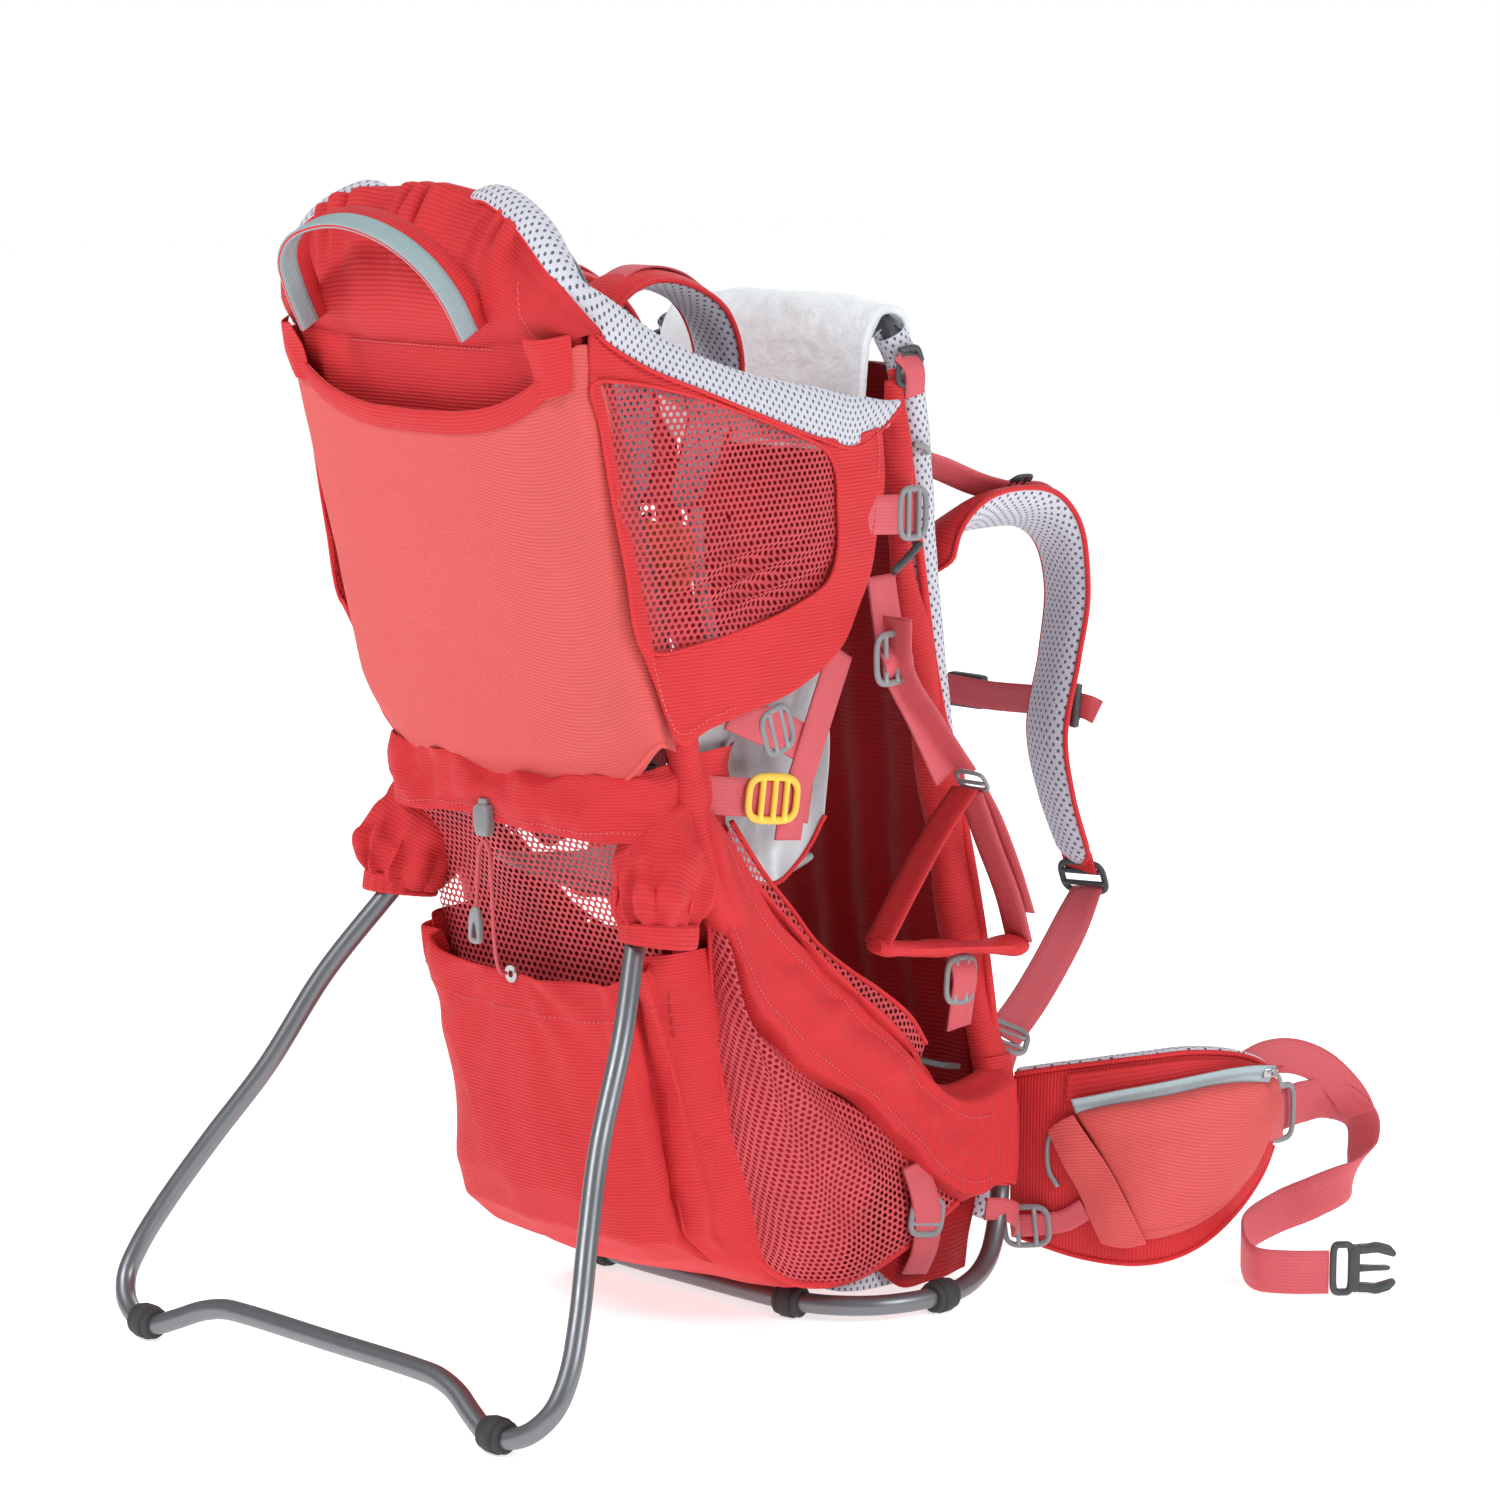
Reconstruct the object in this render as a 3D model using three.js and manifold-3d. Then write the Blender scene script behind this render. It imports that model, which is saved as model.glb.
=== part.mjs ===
// Child carrier backpack: an aluminium tube frame that stands on a folding kickstand, with a padded
// cockpit for the child, a storage bag below the seat and a carrying harness for the adult.
// Units are millimetres. +X is the wearer's right, +Y the wearer's front, +Z up.
// Lengths along Y are counted from the kickstand's feet; the whole model is then moved back by
// CENTRE_Y, so that its origin is the middle of its footprint on the ground.
import * as THREE from 'three';
import { mergeVertices } from 'three/addons/utils/BufferGeometryUtils.js';
import Module from 'manifold-3d';

const wasm = await Module();
wasm.setup();

// ---------------------------------------------------------------- driving dimensions
const CENTRE_Y = 376;          // from the kickstand's feet to the middle of the footprint
const TUBE_R = 6.5;            // 13 mm aluminium tube
const TUBE_SIDES = 10;
const GAP = 0.4;               // clearance between touching pieces
const JOINT_GAP = 1;           // between the ends of two tubes

const PIVOT = { x: 98, y: 200, z: 328 };   // kickstand pivot
const BOLT_R = 2.5;
const BOW_Z = 11;              // height of the base bow's axis over the ground
const FOOT_R = 12.5;           // rubber clips under the tubes, cut flat at the ground
const FOOT_LENGTH = 18;

const BACKREST = { y: 165, z: 394, slope: -0.257 };   // rear plane of the child's backrest
const BACKREST_TOP = 647;
const WING_X = 129.5;          // inner face of the side wings
const WING_THICK = 8;

const BACK_HALF = 92;          // half width of the back panel between the uprights
const STRAP_X = 75;            // middle of each shoulder strap
const STRAP_WIDTH = 50;
const STRAP_THICK = 14;
const WEBBING = 2;             // webbing thickness
const BELT_WIDTH = 30;

// Side view of the wearer's back panel: height, then distance forward of the kickstand's feet.
const BACK_PROFILE = [[40, 497], [90, 497], [125, 496], [180, 486], [255, 468], [330, 455],
  [390, 445], [456, 434], [534, 426], [600, 417], [640, 411]];

// ---------------------------------------------------------------- materials
function material(color, roughness, metalness = 0) {
  return new THREE.MeshStandardMaterial({ color, roughness, metalness });
}
const RED = material(0xc8303a, 0.85);
const CORAL = material(0xdd5560, 0.85);
const DARK_RED = material(0x8f1a24, 0.9);
const PINK_WEBBING = material(0xc94355, 0.8);
const WHITE_MESH = material(0xdfe0e8, 0.95);
const FLEECE = material(0xc9ced2, 1);
const LINER = material(0xb9bcc2, 0.7);
const GREY_WEBBING = material(0x9fb0b4, 0.75);
const GREY_PLASTIC = material(0x7f8184, 0.55);
const DARK_PLASTIC = material(0x4a4c50, 0.5);
const RUBBER = material(0x3d3f42, 0.8);
const TUBE_GREY = material(0x6d7177, 0.35, 0.9);
const STEEL = material(0xb5b8bb, 0.3, 1);
const ORANGE = material(0xe0662c, 0.6);

// ---------------------------------------------------------------- helpers
const vec = (p) => new THREE.Vector3(...p);
const lerp = THREE.MathUtils.lerp;

function closed(geometry) {
  geometry.deleteAttribute('normal');
  geometry.deleteAttribute('uv');
  const welded = mergeVertices(geometry, 1e-4);
  welded.computeVertexNormals();
  return welded;
}

function toManifold(geometry) {
  const welded = closed(geometry.clone());
  return new wasm.Manifold(new wasm.Mesh({
    numProp: 3,
    vertProperties: new Float32Array(welded.attributes.position.array),
    triVerts: new Uint32Array(welded.index.array),
  }));
}

function fromManifold(solid) {
  const mesh = solid.getMesh();
  const geometry = new THREE.BufferGeometry();
  geometry.setAttribute('position', new THREE.BufferAttribute(new Float32Array(mesh.vertProperties), 3));
  geometry.setIndex(new THREE.BufferAttribute(new Uint32Array(mesh.triVerts), 1));
  geometry.computeVertexNormals();
  return geometry;
}

function cut(base, ...tools) {
  return fromManifold(tools.reduce((solid, tool) => solid.subtract(toManifold(tool)), toManifold(base)));
}

function join(...pieces) {
  return fromManifold(pieces.map(toManifold).reduce((solid, piece) => solid.add(piece)));
}

// The same geometry on the other side of the X = 0 plane, its faces still pointing out.
function mirrored(geometry) {
  const copy = closed(geometry.clone());
  copy.scale(-1, 1, 1);
  const index = copy.index.array;
  for (let i = 0; i < index.length; i += 3) {
    [index[i + 1], index[i + 2]] = [index[i + 2], index[i + 1]];
  }
  copy.computeVertexNormals();
  return copy;
}

// A round bar along a smooth curve through the points.
function tube(points, radius, steps, sides = TUBE_SIDES, bore = 0) {
  const section = new THREE.Shape().absarc(0, 0, radius, 0, 2 * Math.PI);
  if (bore) section.holes.push(new THREE.Path().absarc(0, 0, bore, 0, 2 * Math.PI, true));
  const extrudePath = new THREE.CatmullRomCurve3(points.map(vec), false, 'centripetal');
  return new THREE.ExtrudeGeometry(section, { steps, curveSegments: sides / 2, extrudePath });
}

// The left half of a symmetric path, then the right half: the points given run from x = 0 outwards.
function bothSides(half) {
  const left = half.slice().reverse().map(([x, y, z]) => [-x, y, z]);
  return [...left, ...half.filter(([x]) => x !== 0)];
}

// A box whose corners, counted from -1 to 1 along each side, are moved by place(u, v, w).
// place keeps u, v and w right handed, so that the faces keep pointing out.
function block(place, [nu, nv, nw]) {
  const geometry = new THREE.BoxGeometry(2, 2, 2, nu, nv, nw);
  const position = geometry.attributes.position;
  for (let i = 0; i < position.count; i++) {
    position.setXYZ(i, ...place(position.getX(i), position.getY(i), position.getZ(i)));
  }
  return closed(geometry);
}

function cuboid(size, centre) {
  return new THREE.BoxGeometry(...size).translate(...centre);
}

// A flat band along a curve. across gives the direction of its width at each point.
function band(points, across, width, thick, steps) {
  const route = new THREE.CatmullRomCurve3(points.map(vec), false, 'centripetal');
  const sides = new THREE.CatmullRomCurve3(across.map(vec), false, 'centripetal');
  return block((u, v, w) => {
    const t = (w + 1) / 2;
    const along = route.getTangentAt(t);
    const side = sides.getPoint(t);
    side.addScaledVector(along, -side.dot(along)).normalize();
    const normal = new THREE.Vector3().crossVectors(along, side);
    return route.getPointAt(t)
      .addScaledVector(side, u * width / 2)
      .addScaledVector(normal, v * thick / 2)
      .toArray();
  }, [1, 1, steps]);
}

// A plate whose outline is given in (y, z), from x = inner to x = inner + thick.
function sidePlate(outline, inner, thick, holes = []) {
  const shape = new THREE.Shape(outline.map(([y, z]) => new THREE.Vector2(y, z)));
  shape.holes = holes.map((hole) => new THREE.Path(hole.map(([y, z]) => new THREE.Vector2(y, z))));
  const geometry = new THREE.ExtrudeGeometry(shape, { depth: thick, bevelEnabled: false });
  const axes = new THREE.Matrix4().makeBasis(vec([0, 1, 0]), vec([0, 0, 1]), vec([1, 0, 0]));
  return geometry.applyMatrix4(axes).translate(inner, 0, 0);
}

// A rod along X.
function rodX(radius, from, to, y, z, sides = 16) {
  return new THREE.CylinderGeometry(radius, radius, to - from, sides)
    .rotateZ(Math.PI / 2).translate((from + to) / 2, y, z);
}

function interpolate(table, at) {
  const next = table.findIndex(([key]) => key >= at);
  if (next < 0) return table.at(-1)[1];
  if (next === 0) return table[0][1];
  const [k0, v0] = table[next - 1];
  const [k1, v1] = table[next];
  return lerp(v0, v1, (at - k0) / (k1 - k0));
}
const backY = (z) => interpolate(BACK_PROFILE, z);
const backrestY = (z) => BACKREST.y + BACKREST.slope * (z - BACKREST.z);

const carrier = new THREE.Group();
carrier.position.y = -CENTRE_Y;

function add(name, geometry, paint) {
  const mesh = new THREE.Mesh(closed(geometry), paint);
  mesh.name = name;
  carrier.add(mesh);
}

function addPair(name, geometry, paint) {
  add(`${name}_right`, geometry, paint);
  add(`${name}_left`, mirrored(geometry), paint);
}

// ---------------------------------------------------------------- frame tubes
const bowHalf = [[0, 322, 11], [60, 322.5, 11], [88, 325, 11], [114, 335, 11], [137, 358, 11],
  [148, 395, 11], [146, 428, 12], [135, 462, 22], [122, 486, 50], [115, 496, 90]];
add('frame_base_bow', tube(bothSides(bowHalf), TUBE_R, 46), TUBE_GREY);

const uprightPoints = [[114.5, 497, 90 + 2 * JOINT_GAP], [110, 498, 125],
  ...[180, 255, 330, 390, 456, 534, 600].map((z) => [z < 200 ? 104 : 100, backY(z), z])];
addPair('frame_upright', tube(uprightPoints, TUBE_R, 24), TUBE_GREY);

const topBarHalf = [[0, 411, 637], [58, 411, 637], [84, 412, 633], [98, 414.5, 618], [100, 417, 600 + JOINT_GAP]];
add('frame_top_bar', tube(bothSides(topBarHalf), TUBE_R, 24), TUBE_GREY);

const seatFramePoints = [[128, 487, 106], [126, 440, 117], [122, 395, 138], [119, 350, 172],
  [118, 295, 218], [118, 251, 262], [118, 222, 300], [118, 208, 332], [118, 204, 365],
  [118, backrestY(400) + 32, 400], [116, backrestY(520) + 31, 520], [113, backrestY(640) + 30, 640]];
addPair('seat_frame', tube(seatFramePoints, TUBE_R, 34), TUBE_GREY);

const hoopHalf = [[0, 106, 712], [60, 108, 709], [90, 114, 698], [107, 122, 676],
  [113, backrestY(640) + 30, 640 + JOINT_GAP]];
add('headrest_hoop', tube(bothSides(hoopHalf), TUBE_R, 28), TUBE_GREY);

// ---------------------------------------------------------------- kickstand
// One leg from its pivot down to the foot, then half of the raised crossbar.
const legPoints = [[PIVOT.x, PIVOT.y + 8, PIVOT.z + 12], [PIVOT.x, PIVOT.y - 12, PIVOT.z - 19],
  [103, 180, 296], [118, 159, 266], [139, 129, 221], [156, 94, 163], [177, 65, 117], [195, 41, 76],
  [203, 26, 50], [203, 15, 32], [195, 8, 20], [184, 4.5, 13], [170, 2, 10], [156, 2.5, 11],
  [140, 6, 17], [121, 11, 25], [102, 13.5, 29.5], [82, 14, 30.5], [0, 14, 30.5]];
const kickstandPath = bothSides(legPoints.slice().reverse());
const pivotBore = rodX(BOLT_R + GAP, -PIVOT.x - 12, PIVOT.x + 12, PIVOT.y, PIVOT.z);
add('kickstand_tube', cut(tube(kickstandPath, TUBE_R, 76), pivotBore), TUBE_GREY);

// The bracket is a clevis: two cheeks joined by a web over the end of the leg.
const CHEEK = { y0: -14, y1: 14, z0: -12, z1: 26 };
function pivotBracket() {
  const height = CHEEK.z1 - CHEEK.z0;
  const middleZ = PIVOT.z + (CHEEK.z0 + CHEEK.z1) / 2;
  const body = cuboid([28, CHEEK.y1 - CHEEK.y0, height], [PIVOT.x - 1.2, PIVOT.y, middleZ]);
  const slot = cuboid([2 * TUBE_R + 2, 60, height], [PIVOT.x, PIVOT.y, middleZ - 7]);
  return cut(body, slot, rodX(BOLT_R + GAP, PIVOT.x - 30, PIVOT.x + 30, PIVOT.y, PIVOT.z));
}
addPair('pivot_bracket', pivotBracket(), GREY_PLASTIC);

function pivotBolt() {
  const shank = rodX(BOLT_R, PIVOT.x - 17, PIVOT.x + 12.6, PIVOT.y, PIVOT.z);
  const head = rodX(BOLT_R + 2.5, PIVOT.x - 20, PIVOT.x - 16.5, PIVOT.y, PIVOT.z);
  return join(shank, head);
}
addPair('pivot_bolt', pivotBolt(), STEEL);

// Gathered fabric sleeves around the tops of the legs.
const sleevePoints = [[101.5, 184, 300], [110, 172, 281], [121, 157, 261]];
addPair('kickstand_sleeve', tube(sleevePoints, 24, 4, 12, TUBE_R + 3), RED);

// ---------------------------------------------------------------- rubber feet
// A clip around the tube with a flat sole; along is the tube's direction in the ground plane.
function footClip([x, y], along, bore) {
  const shell = new THREE.CylinderGeometry(FOOT_R, FOOT_R, FOOT_LENGTH, 16);
  const hole = new THREE.CylinderGeometry(bore, bore, FOOT_LENGTH + 4, 16);
  const belowGround = cuboid([2 * FOOT_R, 2 * FOOT_LENGTH, 10], [0, 0, -BOW_Z - 5]);
  const turn = new THREE.Quaternion().setFromUnitVectors(vec([0, 1, 0]), vec(along).normalize());
  return cut(shell, hole, belowGround).applyQuaternion(turn).translate(x, y, BOW_Z);
}
addPair('base_foot_rear', footClip([88, 325], [1, 0.16, 0], TUBE_R + 1.5), RUBBER);
addPair('base_foot_side', footClip([148.3, 402], [0, 1, 0], TUBE_R + 1.5), RUBBER);
addPair('kickstand_foot', footClip([166, 2.5], [1, 0, 0], TUBE_R + 2), RUBBER);

// ---------------------------------------------------------------- wearer's back
const panelAt = (half, z0, z1, y0, y1, steps) => block((u, v, w) => {
  const z = lerp(z0, z1, (w + 1) / 2);
  return [u * half, backY(z) + lerp(y0, y1, (v + 1) / 2), z];
}, [2, 1, steps]);
add('back_panel', panelAt(BACK_HALF, 95, 610, -6, 6, 10), DARK_RED);
add('back_mesh_pad', panelAt(88, 45, 452, 7, 20, 8), WHITE_MESH);
add('shoulder_yoke', panelAt(60, 468, 560, 8.5, 18, 2), RED);

const strapRoute = [[STRAP_X, 461, 470], [STRAP_X, 473, 490], [STRAP_X, 497, 503], [STRAP_X, 530, 507],
  [STRAP_X, 566, 503], [STRAP_X, 592, 482], [STRAP_X, 602, 446], [STRAP_X, 595, 402],
  [STRAP_X, 583, 352], [STRAP_X, 592, 311], [STRAP_X, 616, 259]];
addPair('shoulder_strap', band(strapRoute, [[1, 0, 0], [1, -0.3, 0]], STRAP_WIDTH, STRAP_THICK, 22), RED);

const STERNUM_Z = 369;
const sternumHalf = [[0, 607, STERNUM_Z - 3], [45, 604, STERNUM_Z - 1], [88, 601, STERNUM_Z]];
add('sternum_strap', band(bothSides(sternumHalf), [[0, 0, 1], [0, 0, 1]], 20, WEBBING, 8), PINK_WEBBING);
add('sternum_buckle', cuboid([34, 8, 24], [-24, 612.5, STERNUM_Z - 2.5]), DARK_PLASTIC);

const lowerWebbing = [[STRAP_X, 627, 240], [86, 590, 210], [98, 543, 178], [107, 506, 159]];
addPair('lower_webbing', band(lowerWebbing, [[1, 0.2, 0], [1, 0.4, 0]], 25, WEBBING, 6), PINK_WEBBING);

// ---------------------------------------------------------------- hip belt
const FIN_ROUTE = [[106, 515, 0], [130, 528, 0], [160, 546, 0], [188, 572, 0], [205, 610, 0],
  [211, 642, 0], [210, 665, 0]];
const FIN_LOW = [[0, 24], [0.25, 10], [0.5, 6], [0.64, 18], [0.78, 40], [0.92, 62], [1, 84]];
const FIN_HIGH = [[0, 150], [0.6, 149], [0.8, 143], [0.92, 132], [1, 112]];
// A layer of the fin: from and to are fractions of its length, inner and outer count from its middle.
function finLayer(from, to, inner, outer, low, high, steps) {
  const route = new THREE.CatmullRomCurve3(FIN_ROUTE.map(vec), false, 'centripetal');
  return block((u, v, w) => {
    const t = lerp(from, to, (w + 1) / 2);
    const along = route.getTangentAt(t);
    const outward = new THREE.Vector3(along.y, -along.x, 0);
    const point = route.getPointAt(t).addScaledVector(outward, lerp(outer, inner, (u + 1) / 2));
    point.z = lerp(interpolate(low, t), interpolate(high, t), (v + 1) / 2);
    return point.toArray();
  }, [1, 2, steps]);
}
addPair('hip_fin', finLayer(0, 1, -8, 8, FIN_LOW, FIN_HIGH, 10), RED);
const POCKET_LOW = [[0.35, 34], [0.68, 36], [0.79, 46], [0.93, 76]];
const POCKET_HIGH = [[0.35, 128], [0.8, 126], [0.93, 114]];
addPair('hip_pocket', finLayer(0.35, 0.93, 9.5, 25, POCKET_LOW, POCKET_HIGH, 7), RED);

// The zip runs along a chord of the pocket's top; its slider rests at the zip's front end.
const ZIP = { x: 229, y: 635, z: 133.5, turn: -0.326 };
addPair('zip_slider', cuboid([6, 12, 8], [0, 0, 0]).rotateZ(ZIP.turn).translate(ZIP.x, ZIP.y, ZIP.z), GREY_PLASTIC);

const waistRoute = [[210, 668, 98], [205, 702, 98], [206, 734, 94], [217, 752, 80], [226, 742, 62],
  [234, 718, 47], [224, 695, 37], [209, 672, 27], [208, 642, 20], [230, 609, 17], [264, 582, 16],
  [283, 590, 16], [302, 609, 16]];
const waistAcross = waistRoute.map(([x, , z]) => (z > 40 && z < 90 ? [-0.4, 0, 1] : [0, 0, 1]));
addPair('waist_strap', band(waistRoute, waistAcross, BELT_WIDTH, WEBBING, 28), PINK_WEBBING);

// The two halves of the hip-belt buckle: a prong plug on the right, its socket on the left.
function beltBuckle(length) {
  const height = BELT_WIDTH + 6;
  return cuboid([9, length, height], [0, length / 2, 0]).rotateZ(-0.72)
    .translate(302.8, 610, height / 2 + GAP);
}
add('buckle_male', beltBuckle(44), DARK_PLASTIC);
add('buckle_female', mirrored(beltBuckle(36)), DARK_PLASTIC);

// ---------------------------------------------------------------- child's backrest and headrest
const onBackrest = (x, z, depth) => [x, backrestY(z) + depth, z];

const PAD_HALF = [[358, 92], [400, 100], [640, 100], [668, 95], [684, 80], [692, 58]];
add('backrest_pad', block((u, v, w) => {
  const z = lerp(358, 692, (w + 1) / 2);
  return onBackrest(u * interpolate(PAD_HALF, z), z, lerp(20, 46, (v + 1) / 2));
}, [2, 1, 12]), WHITE_MESH);

const POCKET_BOTTOM = 346;
const POCKET_HALF = [[0, 108], [0.125, 133], [1, 129]];
add('stash_pocket', block((u, v, w) => {
  const t = (w + 1) / 2;
  const z = lerp(POCKET_BOTTOM + 16 * u * u, BACKREST_TOP, t);
  return onBackrest(u * interpolate(POCKET_HALF, t), z, v > 0 ? 17 : -20 * (1 - u * u));
}, [8, 1, 8]), CORAL);

add('headrest_pad', block((u, v, w) => {
  const z = lerp(BACKREST_TOP + 3, 696, (w + 1) / 2);
  const half = lerp(95, 70, ((w + 1) / 2) ** 2);
  return onBackrest(u * half, z, v > 0 ? 17 : -19 * (1 - u * u));
}, [6, 1, 3]), RED);

const handleHalf = [[0, 40, 710], [41, 42, 702], [63, 51, 686], [71, 63, 667], [72, 74, 646]];
const handleRoute = bothSides(handleHalf);
const handleAcross = handleRoute.map(() => [0, 1, 0.45]);
add('haul_handle', band(handleRoute, handleAcross, 22, 3, 26), GREY_WEBBING);

const wingOutline = [[backrestY(398) + 21, 398], [250, 411], [311, 433], [329, 444], [349, 473],
  [365, 516], [371, 560], [366, 582], [302, 596], [250, 607], [199, 624], [158, 641],
  [backrestY(652) + 21, 652]];
addPair('side_wing', sidePlate(wingOutline, WING_X, WING_THICK), RED);

add('chin_pad', block((u, v, w) => [u * 92, 394 + v * 10 + Math.abs(w) * -2, 601 + w * 39], [2, 1, 4]), FLEECE);

// ---------------------------------------------------------------- seat and storage
add('seat_pan', block((u, v, w) => {
  const y = lerp(228, 372, (v + 1) / 2);
  return [u * lerp(92, 60, (v + 1) / 2), y, 287 + w * 7 + 14 * u * u];
}, [4, 3, 1]), LINER);

const BAG = { half: 104, top: 244, bulge: 38, wall: 4 };
const BAG_REAR = [[24, 300], [50, 236], [79, 212], [150, 205], [244, 205]];
const BAG_FRONT = [[24, 372], [60, 417], [95, 426], [170, 398], [225, 330], [244, 290]];
// The bag's outer shape, or with a wall its inside; the inside runs up past the open mouth.
function bagShape(wall) {
  const floor = 24 + wall;
  const rim = wall ? BAG.top + 10 : BAG.top;
  return block((u, v, w) => {
    const z = lerp(floor, rim, (w + 1) / 2);
    const bulge = BAG.bulge * (1 - u * u) * Math.min(1, z / 200);
    const rear = interpolate(BAG_REAR, z - wall) - bulge + wall;
    const front = interpolate(BAG_FRONT, z - wall) - wall;
    return [u * (BAG.half - wall), v > 0 ? front : rear, z];
  }, [6, 1, 9]);
}
add('storage_bag', cut(bagShape(0), bagShape(BAG.wall)), RED);

// ---------------------------------------------------------------- draw cord
const CORD_R = 1.25;
const bagMouthY = 205 - BAG.bulge;
const grommet = cut(
  new THREE.CylinderGeometry(5.5, 5.5, 2, 20),
  new THREE.CylinderGeometry(CORD_R + 1, CORD_R + 1, 6, 20),
).translate(0, bagMouthY - 1.4, 236);
add('cord_grommet', grommet, DARK_PLASTIC);

const LOCK = { x: -6, y: 149, z: 335 };
const lockBody = cut(
  cuboid([15, 10, 20], [LOCK.x, LOCK.y, LOCK.z]),
  cuboid([9, 6, 14], [LOCK.x, LOCK.y, LOCK.z + 5]),
);
add('cord_lock_body', lockBody, GREY_PLASTIC);
add('cord_lock_button', cuboid([8, 5, 12], [LOCK.x, LOCK.y, LOCK.z + 7.5]), DARK_PLASTIC);

const drawCord = [[0, 161, 237], [0.3, 156.5, 238], [0.2, 153.5, 244], [0, 151, 262], [0, 149.8, 285],
  [-0.6, 149.2, 305], [-1.6, 149, 316], [-6, 149, 322], [-10.4, 149, 316], [-11.6, 148.8, 304],
  [-12.4, 148.4, 291], [-13, 148, 279]];
add('drawcord_tail', tube(drawCord, CORD_R, 56, 8), PINK_WEBBING);
add('drawcord_pull_tab', cuboid([10, 4, 22], [-13.2, 147.6, 267.4]), GREY_PLASTIC);

// ---------------------------------------------------------------- child harness
for (const [side, x] of [['right', 45], ['left', -45]]) {
  const route = [[x, 186, 628], [x, 200, 655], [x, 226, 667], [x, 258, 664], [x, 290, 646],
    [x * 0.9, 308, 610], [x * 0.7, 304, 560], [x * 0.45, 294, 520]];
  add(`harness_strap_${side}`, band(route, [[1, 0, 0], [1, 0, 0]], 42, 12, 12), RED);
}
add('harness_buckle', cuboid([62, 10, 46], [0, 292, 488]), ORANGE);

// ---------------------------------------------------------------- stirrups
const stirrupOuter = [[430, 346], [349, 254], [351, 240], [487, 224], [490, 234], [438, 344]];
const stirrupHole = [[432, 331], [476, 240], [367, 254]];
addPair('stirrup', sidePlate(stirrupOuter, 126, 22, [stirrupHole]), PINK_WEBBING);
const stirrupStrap = [[140, 366, 455], [140, 368, 425], [138, 398, 388], [137, 430, 352]];
addPair('stirrup_strap', band(stirrupStrap, [[1, 0, 0], [1, 0, 0]], 25, WEBBING, 6), PINK_WEBBING);

export default carrier;
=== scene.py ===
"""Looks of the child carrier backpack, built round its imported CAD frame.

Points in this script are in millimetres and, as in the part's source, y counts forward from the
kickstand's feet. place() turns them into metres in the row frame.
"""
import math

import bmesh
import bpy
import numpy as np
from mathutils import Matrix, Vector, noise


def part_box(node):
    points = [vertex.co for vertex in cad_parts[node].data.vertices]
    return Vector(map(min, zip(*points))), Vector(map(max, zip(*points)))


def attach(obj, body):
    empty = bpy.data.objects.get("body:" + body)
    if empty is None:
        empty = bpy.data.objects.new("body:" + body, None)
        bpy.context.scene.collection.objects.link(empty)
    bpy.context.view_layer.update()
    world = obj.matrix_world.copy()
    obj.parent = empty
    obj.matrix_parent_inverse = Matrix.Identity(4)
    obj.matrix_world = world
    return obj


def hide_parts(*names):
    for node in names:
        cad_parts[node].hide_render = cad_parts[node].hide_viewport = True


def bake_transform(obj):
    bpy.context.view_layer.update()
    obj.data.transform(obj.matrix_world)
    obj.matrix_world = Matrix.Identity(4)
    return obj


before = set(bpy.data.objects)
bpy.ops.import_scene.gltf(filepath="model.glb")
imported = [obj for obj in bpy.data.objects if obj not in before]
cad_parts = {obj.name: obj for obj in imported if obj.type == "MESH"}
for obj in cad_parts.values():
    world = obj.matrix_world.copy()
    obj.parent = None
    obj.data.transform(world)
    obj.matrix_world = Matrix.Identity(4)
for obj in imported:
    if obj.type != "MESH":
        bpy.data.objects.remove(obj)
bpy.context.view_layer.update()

CENTRE_Y = 376              # from the kickstand's feet to the origin
MM = 0.001
TUBE_R = 6.5


def place(points):
    """Points in mm, y from the kickstand's feet, as metres in the row frame."""
    return (np.asarray(points, float) - (0, CENTRE_Y, 0)) * MM


# ------------------------------------------------------------------ camera, light and floor
CAMERA_SPOT = (2.076, -2.067, 0.822)
CAMERA_LENS, CAMERA_FILM = 109.03, 36
CAMERA_DOWN, CAMERA_TURN = 9.08, 45.13      # degrees
LAMPS = (                                   # name, place, size in m, power in W
    ("key", (-0.5, -2.5, 2.6), 1.0, 52),
    ("fill", (2.9, 0.2, 1.9), 1.2, 44),
    ("front", (-1.2, 2.6, 2.2), 1.8, 34))
SKY_ON_PIECES, SKY_IN_VIEW = 0.36, 1.0
FLOOR_REACH, FLOOR_GLOW = 12, 0.66


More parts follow.
